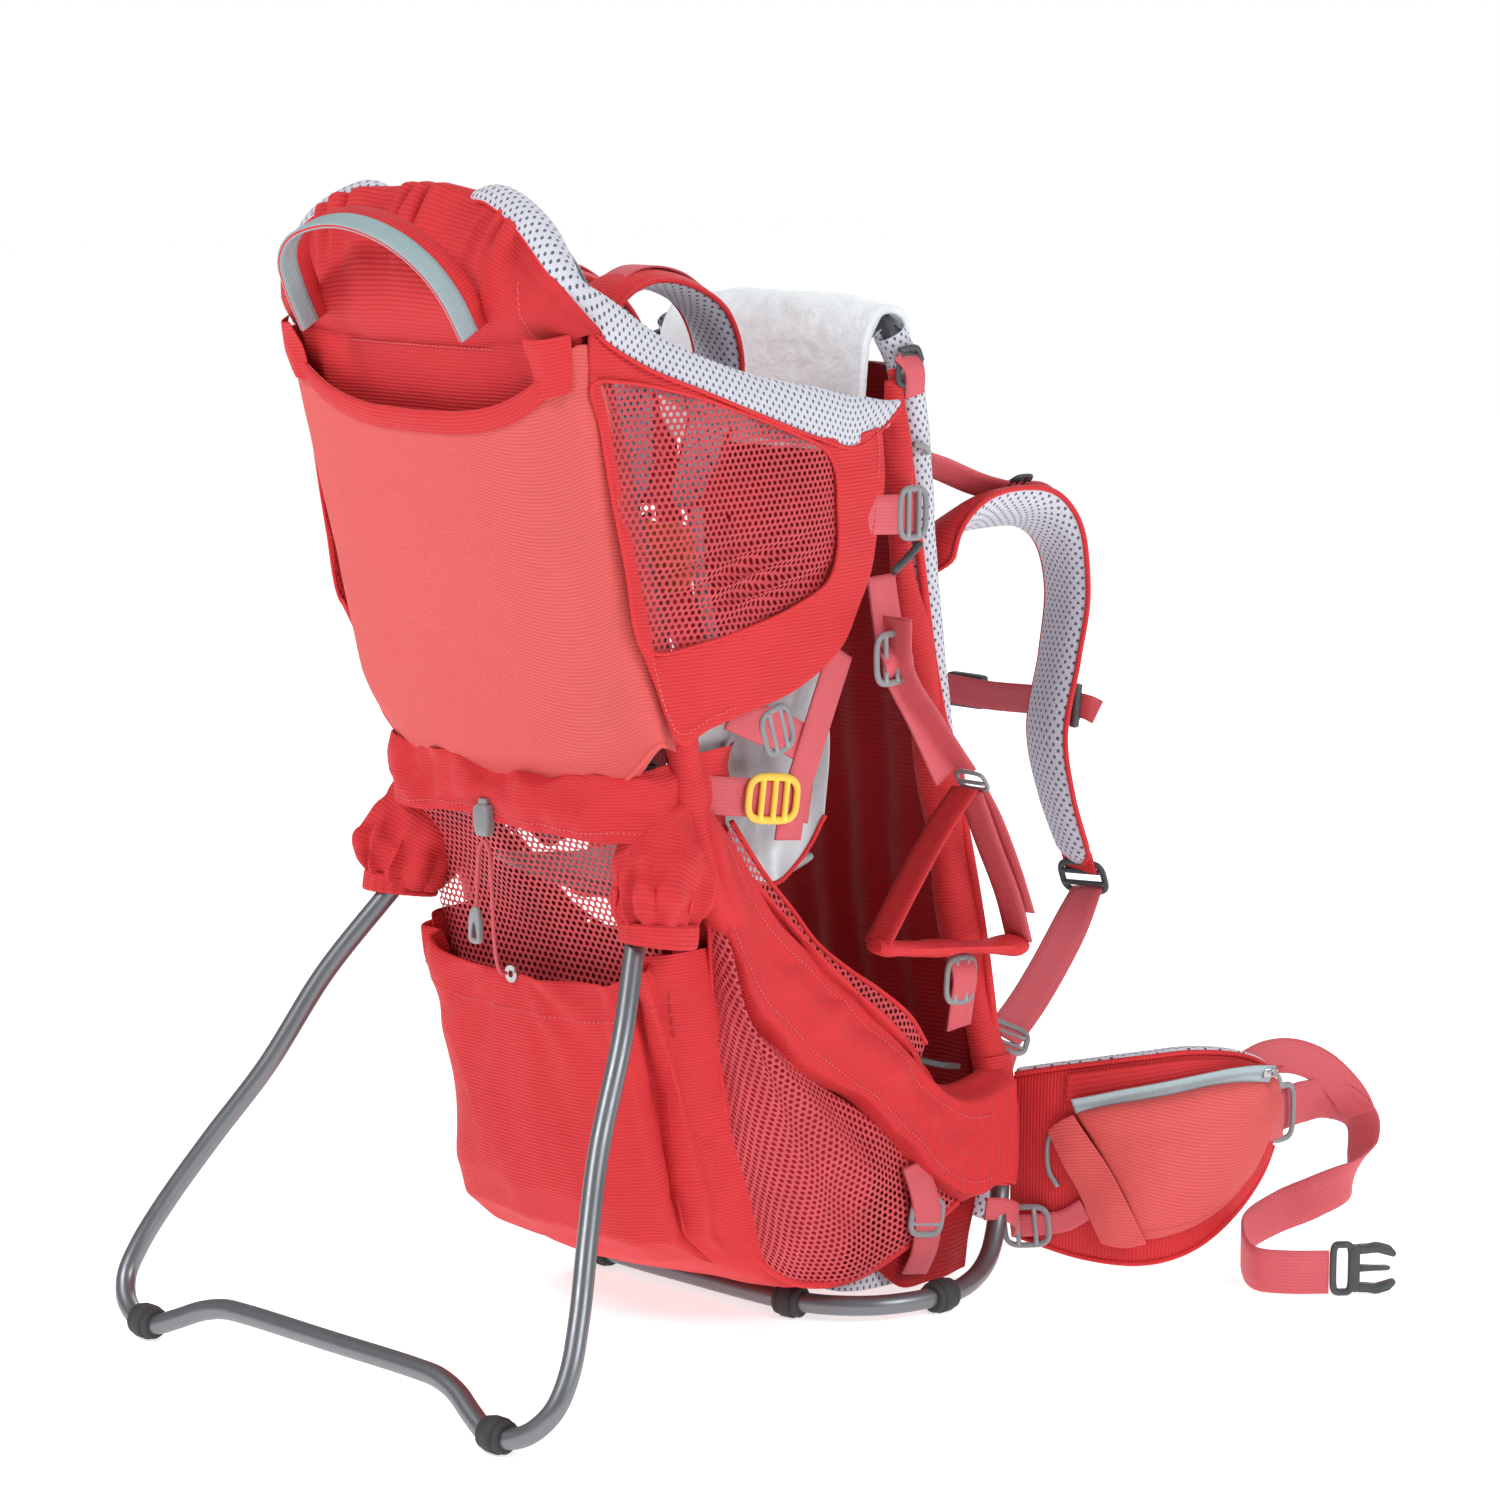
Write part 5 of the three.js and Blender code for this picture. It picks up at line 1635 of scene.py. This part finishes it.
def make_hip_fin(here):
    body = f"hip_fin_{here.word}"
    t, v = shares(70, 40)
    low, high = np.interp(t, *FIN_LOW), np.interp(t, *FIN_HIGH)
    z = (low + high) / 2 - (high - low) / 2 * np.cos(np.pi * v)
    crown = np.clip(np.sin(np.pi * v), 0, 1) ** 0.55 * np.clip((1.005 - t) / 0.06, 0.25, 1)
    root = np.clip(0.3 + t / 0.2, 0, 1)
    outer = fin_point(t, z, 8.5 * crown * root)
    inner = fin_point(t, z, -8.5 * crown)
    # a closed pad: outward face then inward face
    loop = np.concatenate([outer, inner[:, -2:0:-1]], axis=1)
    pad = here.surface("hip_pad", loop, RED, body=body, closed=True, caps=True, smooth=1)
    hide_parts(f"hip_fin_{here.word}")
    # mesh lining on the wearer's side, rolled over the top edge
    v2 = np.linspace(0.06, 1.12, 34)[None, :]
    tt = np.linspace(0.02, 0.97, 70)[:, None]
    low, high = np.interp(tt, *FIN_LOW), np.interp(tt, *FIN_HIGH)
    zz = low + (high - low) * np.minimum(v2, 1.0) + 3.0 * (v2 > 0.97)
    out = -11.5 - 2 * np.sin(np.pi * np.clip(v2, 0, 1)) + 15 * np.clip((v2 - 0.94) / 0.18, 0, 1)
    lining = fin_point(tt, zz, out * np.ones_like(tt))
    lining = here.surface("hip_lining", lining[:, ::-1], WHITE_MESH, body=body, thick=2, smooth=1)
    for name, shift in (("low", FIN_LOW), ("high", FIN_HIGH)):
        s = np.linspace(0.02, 0.97, 80)
        line = fin_point(s, np.interp(s, *shift) + (1 if name == "high" else 0), 3.5)
        here.rod(f"hip_piping_{name}", line, 1.8, RED, 8, body=body)

    make_hip_pocket(here, body)


def make_hip_pocket(here, body):
    columns, rows = 70, 44
    v, u = shares(rows, columns)
    rear = 0.24 + 0.2 * (1 - v)
    t = rear + (0.94 - rear) * u
    low, high = np.interp(t, *POCKET_LOW), np.interp(t, *POCKET_HIGH)
    z = low + (high - low) * v
    round_off = np.clip(4.6 * u * (1 - u), 0, 1) ** 0.45
    tall = np.clip(3.4 * v * (1 - v), 0, 1) ** 0.5
    out = 9.5 + 15 * round_off * tall + 5.5 * np.clip((v - 0.8) / 0.2, 0, 1) * round_off
    grid = crumple(fin_point(t, z, out), 2.4, 44, 111)
    grid = crumple(grid, 0.8, 16, 113)
    back = fin_point(t[[0, -1]], z[[0, -1]], 9.0)
    skin = np.concatenate([back[:1], grid, back[1:]])
    pocket = here.surface("pocket_panel", skin, CORAL, body=body, thick=1.2, smooth=1)
    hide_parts(f"hip_pocket_{here.word}")
    here.stitches("pocket_stitches", grid[3, 4:-4] + (1.0, -0.6, 0), body=body)
    # red flap over the top edge, with the zip under it
    v2, u2 = shares(14, 60)
    t2 = 0.2 + 0.75 * u2
    top = np.interp(t2, *POCKET_HIGH)
    z2 = top + 8 + v2 * np.clip(np.interp(t2, *FIN_HIGH) - 3 - top - 8, 2, 30)
    out2 = np.interp(t2, *ZIP_OUT) - 4 - 2.5 * v2 ** 0.7
    here.surface("pocket_flap", crumple(fin_point(t2, z2, out2), 1.2, 30, 115), RED,
        body=body, thick=1.4, smooth=1)
    s = np.linspace(0.23, 0.93, 60)
    zip_line = fin_point(s, np.interp(s, *POCKET_HIGH) + 5.0, np.interp(s, *ZIP_OUT))
    here.ribbon("pocket_zip", zip_line[::6], (0.35, -0.35, 1), 13, 1.2, ZIP, 80, body=body)
    # triangular gusset flap at the pocket's rear
    gusset = coons([fin_point(0.32, 23, 13), fin_point(0.39, 21, 15), fin_point(0.46, 24, 15)],
        [fin_point(0.14, 98, 11), fin_point(0.18, 105, 13), fin_point(0.23, 111, 14)],
        [fin_point(0.32, 23, 13), fin_point(0.24, 60, 13), fin_point(0.14, 98, 11)],
        [fin_point(0.46, 24, 15), fin_point(0.37, 66, 19), fin_point(0.23, 111, 14)], 24, 20)
    here.surface("pocket_gusset", crumple(gusset, 3, 30, 117), CORAL, body=body, thick=1.4,
        smooth=1)
    make_zip_slider(here)


def make_zip_slider(here):
    """A cast slider on the zip's track with its cord puller."""
    body = f"zip_{here.word}"
    centre = np.array((229, 635, 133.5))
    block = here.rounded_block("slider_body", centre, (5.4, 11, 7.2), STEEL, body=body, turn=-0.326,
        power=0.6)
    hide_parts(f"zip_slider_{here.word}")
    here.rod("slider_bridge", [centre + (2.2, -3.4, 1), centre + (4.2, -1, 2), centre + (3.2, 3.4,
        1)], 1.0, STEEL, 8, 16, body=body)
    here.rod("slider_puller", [centre + (4.2, -0.6, 1), centre + (6.6, 1.6, -2), centre + (8.2, 3,
        -8)], 1.5, GREY, 8, 20, body=body)


WAIST_ROUTE = [(210, 668, 98), (205, 702, 98), (206, 734, 94), (217, 752, 80), (226, 742, 62),
    (234, 718, 47), (224, 695, 37), (209, 672, 27), (208, 642, 20), (230, 609, 17), (264, 582, 16),
    (283, 590, 16), (302, 609, 16)]
BUCKLE_TURN = -0.72


def make_waist_strap(here):
    body = f"hip_fin_{here.word}"
    across = [(0, 0, 1), (0, 0, 1), (0.35, 0, 1), (0.8, 0, 0.6), (0.6, 0.3, 0.75)]
    across += [(0.25, 0.1, 1)] + [(0, 0, 1)] * (len(WAIST_ROUTE) - 6)
    strap = here.ribbon("waist_web", WAIST_ROUTE, across, 29, 2.0, PINK, 200, body=body)
    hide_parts(f"waist_strap_{here.word}")
    # the strand that comes back over the fin's end from the turn
    here.ribbon("waist_return", [(198, 640, 128), (199, 668, 133), (202, 696, 130), (207, 722, 118),
        (213, 742, 98), (218, 750, 82)], [(0, 0, 1), (0, 0, 1), (0, 0.15, 1), (0.1, 0.35, 1),
        (0.35, 0.35, 1), (0.75, 0.1, 0.65)], 24, 1.8, PINK, 80, body=body)
    centre = np.array((214.5, 668, 98.0))
    here.ladder_lock("fin_lock", centre, (-0.05, 1, 0), (0, 0, 1), 25, 37, GREY, radius=2.2,
        body=body)
    here.ribbon("fin_lock_tab", [fin_point(0.9, 97, 9.5), fin_point(0.985, 97, 7.5),
        (213.5, 668, 97.5)], (0, 0, 1), 29, 3, PINK, 20, body=body)
    # stabiliser webbing at the fin's root: lock, strap and wire loop
    here.ladder_lock("stabiliser_lock", fin_point(0.075, 32, 13), (0.85, 0.5, 0.1), (0, 0, 1), 30,
        26, GREY, radius=2.0, body=body)
    here.ribbon("stabiliser_web", [fin_point(0.02, 31, 13), fin_point(0.1, 33, 12.6),
        fin_point(0.2, 37, 11.5), fin_point(0.27, 46, 11.5)], (0, 0, 1), 15, 1.8, PINK, 50,
        body=body)
    fin_end = fin_point(0.03, 31.5, 14)
    anchor = here.ribbon("stabiliser_anchor", [(127, 468, 52), (129, 484, 49), (126, 500, 41),
        fin_end], (0, 0.1, 1), 15, 1.8, PINK, 40, body=None)
    ends = place([(here.sign * 128, 474, 51), fin_end * (here.sign, 1, 1)])
    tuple(ends[0])
    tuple(ends[1])
    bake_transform(anchor)
    ring = [fin_point(0.155, 97, 9.5), fin_point(0.14, 88, 9.5), fin_point(0.145, 70, 9.5),
        fin_point(0.175, 60, 9.5)]
    here.rod("gear_loop", ring, 1.7, GREY, 12, 40, body=body)


def make_belt_buckle():
    """The plug with its three prongs on the right, and the socket on the left."""
    axis = np.array((math.sin(-BUCKLE_TURN), math.cos(BUCKLE_TURN), 0))
    facing = np.array((axis[1], -axis[0], 0))
    upright = np.array((0, 0, 1.0))
    start = np.array((302.8, 610, 18.4))

    def at(along, height, out=0.0):
        return start + axis * along + upright * height + facing * out

    parts = [loop_bar("plug_bar", at(7.5, 0), axis, upright, 12, 32, 2.4, DARK,
        body="hip_fin_right", power=0.4, flat=1.3)]
    parts.append(plate("plug_base", [at(a, h) for a, h in ((12, -15.5), (18, -16), (19, -8),
        (19, 8), (18, 16), (12, 15.5))], facing, 6.5, DARK, body="hip_fin_right"))
    outer_prong = [(17, 9.5), (30, 10.5), (36, 9), (42, 7.2), (43.4, 10), (39, 15), (30, 17.5),
        (24, 16.2), (17, 16)]
    for word, flip in (("upper", 1), ("lower", -1)):
        parts.append(plate(f"plug_prong_{word}", [at(a, h * flip) for a, h in outer_prong], facing,
            5.2, DARK, body="hip_fin_right"))
    parts.append(plate("plug_guide", [at(a, h) for a, h in ((17, -2.4), (38, -1.6), (40, 0),
        (38, 1.6), (17, 2.4))], facing, 4.2, DARK, body="hip_fin_right"))
    parts.append(rod("plug_web_bar", [at(3, -13), at(3, 13)], 1.8, DARK, 10, 10,
        body="hip_fin_right", curved=False))
    plug = join_pieces("belt_plug", parts)
    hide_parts("buckle_male")

    body = "hip_fin_left"
    sockets = [plate("socket_shell", [at(a, h) for a, h in ((10, -17.5), (32, -17), (35.4, -14),
        (34, -6), (34, 6), (35.4, 14), (32, 17), (10, 17.5), (8, 12), (8, -12))], facing, 8.4, DARK,
        body=body, side=-1)]
    sockets.append(loop_bar("socket_bar", at(5.5, 0), axis, upright, 10, 31, 2.2, DARK, body=body,
        side=-1, power=0.4, flat=1.2))
    socket = join_pieces("belt_socket", sockets)
    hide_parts("buckle_female")


def plate(name, outline, facing, thick, paint, body="root", side=1):
    """A flat moulding: a closed outline given thickness along facing, with eased edges."""
    outline = np.array(outline, float)
    rim = resample(np.vstack([outline, outline[:1]]), 64, closed=True)
    for _ in range(2):
        rim = (np.roll(rim, 1, axis=0) + 2 * rim + np.roll(rim, -1, axis=0)) / 4
    middle = rim.mean(axis=0)
    inward = unit(middle - rim)
    half = thick / 2
    rings = [rim + inward * ease + facing * level for level, ease in ((-half, 0.9),
        (-half + 0.5, 0.25), (-half + 1.2, 0), (half - 1.2, 0), (half - 0.5, 0.25), (half, 0.9))]
    piece = surface(name, np.array(rings), paint, body=body, side=side, closed=True, caps=True)
    weld(piece)
    return piece


# ------------------------------------------------------------------ child's side
def make_backrest():
    """The child's back pad: two channelled columns that the harness straps come out of."""
    t, u = shares(70, 60)
    z = 360 + 330 * t
    half = np.interp(z, [358, 400, 640, 668, 684, 692], [92, 100, 100, 95, 80, 58]) - 2
    x = half * (1 - 2 * u)
    pad = surface("backrest_cushion", pad_loop(on_backrest(x, z, 43), 19), WHITE_MESH, closed=True,
        caps=True)
    inflate(pad, 5, flat_weave, voxel=6)
    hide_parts("backrest_pad")
    for name, height in (("upper", 600), ("middle", 520), ("lower", 440)):
        line = on_backrest(np.linspace(-84, 84, 40), height, 47)
        rod(f"backrest_channel_{name}", line, 1.2, PALE_STITCH, 8, 60)


def pad_loop(face, thick, rim=0.3):
    """The closed grid of a crowned pad whose outer face is the given grid."""
    t, u = shares(*face.shape[:2])
    crown = (np.clip(4 * t * (1 - t), 0, 1) * np.clip(4 * u * (1 - u), 0, 1)) ** 0.3
    normals = grid_normals(face)
    middle = face - normals * (thick / 2)
    reach = normals * ((thick * (rim + (1 - rim) * crown)) / 2)[..., None]
    return np.concatenate([middle + reach, (middle - reach)[:, ::-1]], axis=1)


def make_harness():
    for here in SIDES:
        route = [(45, 186, 628), (45, 200, 655), (45, 226, 667), (45, 258, 664), (45, 290, 646),
            (40.5, 308, 610), (31.5, 304, 560), (20, 294, 520)]
        outer, inner = here.padded_strap("harness_pad", route, (1, 0, 0), [40, 42, 42, 42, 42, 40,
            36, 28], 12, (RED, WHITE_MESH), steps=90)
        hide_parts(f"harness_strap_{here.word}")
        here.ribbon("harness_web", [(45, 190, 640), (45, 204, 662), (45, 228, 674.5),
            (45, 260, 671.5), (45, 296, 650.5)], (1, 0, 0), 20, 1.4, PINK)
    # the child's buckle: an orange shell with a raised button
    parts = [plate("buckle_shell", [(x, 292, z) for x, z in ((-22, 466), (-30, 478), (-31, 500),
        (-24, 510), (24, 510), (31, 500), (30, 478), (22, 466))], np.array((0, 1.0, 0)), 9, ORANGE),
        plate("buckle_button", [(12 * math.cos(a), 292, 488 + 12 * math.sin(a))
        for a in np.linspace(0, math.tau, 28, endpoint=False)], np.array((0, 1.0, 0)), 13, ORANGE)]
    shell = join_pieces("harness_buckle_shell", parts)
    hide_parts("harness_buckle")
    ribbon("crotch_web", [(0, 292, 470), (0, 290, 420), (0, 286, 350), (0, 284, 302)], (1, 0, 0),
        25, 2, PINK, 50)


def make_chin_fleece():
    """The drool pad: fleece over the top bar, on the child's side and folded over the front."""
    u = np.linspace(0, 1, 80)
    rows = []
    profile = spline([(0, 388, 553), (0, 385, 575), (0, 384, 604), (0, 387, 628), (0, 397, 645),
        (0, 409, 649), (0, 420, 644), (0, 423.5, 634), (0, 423, 625)], 70)
    for _, y, z in profile:
        half = 94 - 10 * max(0, (590 - z) / 40) ** 1.5 * (y < 400)
        x = -half + 2 * half * u
        droop = 6 * (x / 94) ** 2 * np.clip((z - 600) / 40, 0, 1)
        rows.append(np.stack([x, np.full_like(x, y), z - droop], axis=1))
    grid = crumple(np.array(rows)[:, ::-1], 4, 46, 121)
    grid = crumple(grid, 1.2, 9, 123)
    pad = surface("chin_fleece", grid, GREY_FLEECE, thick=6, smooth=1)
    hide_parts("chin_pad")
    for here in SIDES:
        edge = grid[2:, 2 if here.sign < 0 else -3]
        rod(f"chin_edge_{here.word}", edge, 2.4, WHITE_MESH, 10, 100)


# ------------------------------------------------------------------ stirrups and side adjusters
def make_stirrup(here):
    body = f"stirrup_{here.word}"
    x = 137
    # padded foot rest
    rest = ring_grid(spline([(x, 349, 247), (x, 380, 241), (x, 420, 236), (x, 460, 231),
        (x, 489, 228)], 70), np.interp(np.linspace(0, 1, 70), [0, 0.06, 0.94, 1], [3, 5.2, 5.0, 3]),
        28, up=(1, 0, 0), squash=2.1)
    rest = crumple(rest, 3, 26, 131)
    sole = here.surface("stirrup_rest", rest, RED, body=body, closed=True, caps=True, smooth=1)
    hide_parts(f"stirrup_{here.word}")
    here.rod("stirrup_piping", [(x + 10, 353, 247), (x + 10.6, 380, 242), (x + 10.6, 420, 237),
        (x + 10.2, 460, 232), (x + 9.5, 486, 229)], 1.2, RED, 8, 60, body=body)
    here.ribbon("stirrup_front_web", [(x, 353, 248), (x + 1.5, 380, 284), (x, 412, 318),
        (x, 434, 338)], (1, 0, 0), 22, 2.4, RED, 50, body=body)
    here.ribbon("stirrup_rear_web", [(x, 487, 232), (x + 2, 474, 262), (x, 456, 300),
        (x, 438, 336)], (1, 0, 0), 22, 2.4, PINK, 50, body=body)
    here.ribbon("stirrup_tail", [(x + 4, 440, 338), (x + 6, 452, 318), (x + 7, 470, 282),
        (x + 8, 482, 252)], (1, 0, 0), 20, 1.6, PINK, 50, body=body)
    strap = here.ribbon("stirrup_hanger", [(140, 366, 455), (140, 368, 425), (138, 398, 388),
        (137, 430, 352)], (1, 0, 0), 25, 2, PINK, 50)
    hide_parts(f"stirrup_strap_{here.word}")
    here.ladder_lock("stirrup_lock", (140, 437, 343), (0, 0.55, -0.83), (1, 0, 0.0), 14, 24, GREY,
        1, 1.7, body=body)


def make_adjusters(here):
    """The webbing and locks down the front edge, from the top bar to the foot of the upright."""
    edge = (0, 0, 1)

    def web(name, points, across=edge, width=25, thick=2.0, paint=PINK):
        return here.ribbon(name, points, across, width, thick, paint, 40)

    def lock(name, y, z, size, right, up, x, paint=GREY, bars=2, radius=2.2):
        return here.ladder_lock(name, (x, y, z), (0, *right), (0, *up), *size, paint, bars, radius)

    web("rim_web", [(132, 322, 522), (131, 350, 520), (129, 378, 518), (128, 392, 518)])
    lock("rim_lock", 391, 518, (24, 31), (1, -0.02), (0, 1), x=130)
    web("rim_web_end", [(128, 390, 518), (124, 400, 517), (110, 409, 516)])
    here.rod("rim_toggle", [(127, 377, 482), (126, 390, 489), (124, 404, 497)], 2.6, DARK, 12, 30)
    lock("front_lock", 363, 429, (26, 31), (1, 0.02), (0.05, 1), x=138)
    web("front_web", [(124, 368, 480), (128, 369, 455), (134, 368, 437), (141, 366, 429),
        (134, 377, 415), (134, 397, 385), (134, 420, 348)], (0, 1, 0.25), 24)
    lock("low_lock", 445, 209, (26, 29), (1, -0.08), (0.05, 1), x=124)
    web("low_web", [(122, 446, 226), (127, 446, 212), (124, 447, 196), (119, 449, 176)], (0, 1, 0),
        22)
    web("dark_tab", [(118, 412, 160), (121, 432, 154), (117, 452, 149)], (0, 0.1, 1), 4, 2, DARK)
    lock("bottom_lock", 409, 58, (23, 29), (0.2, 1), (1, -0.12), x=129)
    web("bottom_web", [(124, 402, 94), (130, 405, 74), (129, 410, 54), (124, 412, 34),
        (118, 409, 18)], (0, 1, -0.1), 24)
    # yellow lock of the seat adjuster, on its webbing
    web("seat_web", [(118, 214, 358), (126, 236, 355), (130, 262, 351), (128, 288, 347),
        (122, 306, 341)], (0, 0, 1), 24)
    lock("seat_lock", 264, 351, (42, 27), (1, -0.14), (0.1, 1), paint=YELLOW, x=132, bars=3,
        radius=2.5)
    # grey lock under the wing and its long tail
    lock("wing_lock", 269, 393, (24, 27), (1, 0.3), (-0.1, 1), x=131)
    web("wing_web", [(124, 236, 408), (130, 256, 398), (131, 272, 392), (128, 290, 384)],
        (0, 0.25, 1), 24)
    web("wing_tail", [(126, 330, 436), (129, 312, 405), (130, 296, 372), (128, 286, 345),
        (126, 283, 322)], (0, 1, -0.45), 22)
    # hooks at the head of the back panel
    lock("top_lock", 405, 606, (20, 20), (0.2, 1), (1, -0.1), paint=DARK, x=113, bars=1, radius=2.0)
    web("top_web", [(112, 398, 618), (116, 406, 607), (113, 410, 590)], (0, 1, 0), 17, 1.8)
    here.rod("top_hook", [(112, 398, 619), (114, 410, 620), (113, 416, 612)], 2.2, DARK, 10, 20)
    here.rod("small_hook", [(112, 411, 559), (114, 418, 557), (112, 424, 553)], 2.2, GREY, 10, 20)


# ------------------------------------------------------------------ cord lock
def make_cord_lock():
    centre = np.array((-6, 149, 335.0))
    a, b = rounded_ring(36, 0.6)

    def turned_part(name, profile, body, node):
        """A moulding of rounded rings: each row of the profile is a height and two half widths."""
        rings = [centre + np.stack([a * half_x, b * half_y, z + 0 * a], axis=1) for z, half_x,
            half_y in profile]
        part = surface(name, np.array(rings), GREY, body=body, closed=True, caps=True)
        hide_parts(node)

    turned_part("lock_shell", ((-10, 4.6, 3.4), (-9.4, 5.4, 4.1), (-4, 6.7, 4.8), (2, 7.2, 4.9),
        (6.6, 7.2, 4.9), (8.2, 6.6, 4.5), (9.8, 5.0, 3.4), (9.8, 4.2, 2.8), (6, 4.2, 2.8)), "root",
        "cord_lock_body")
    turned_part("lock_plunger", ((2, 3.6, 2.3), (12.4, 3.7, 2.4), (13.2, 3.3, 2.1),
        (13.5, 2.4, 1.4)), "cord_button", "cord_lock_button")


make_draw_cord()
make_frame()
make_feet()
make_stash_pocket()
make_hood()
make_handle()
for here in SIDES:
    make_rim(here)
    make_wing(here)
make_bag()
make_lumbar_band()
make_seat_pan()
for here in SIDES:
    make_side_band(here)
    make_seat_side(here)
    make_side_pocket(here)
    make_base_end(here)
    make_liner(here)
    make_sleeve(here)
make_back()
make_shoulder_harness()
for here in SIDES:
    make_hip_fin(here)
    make_waist_strap(here)
make_belt_buckle()
make_backrest()
make_harness()
make_chin_fleece()
for here in SIDES:
    make_stirrup(here)
    make_adjusters(here)
make_cord_lock()
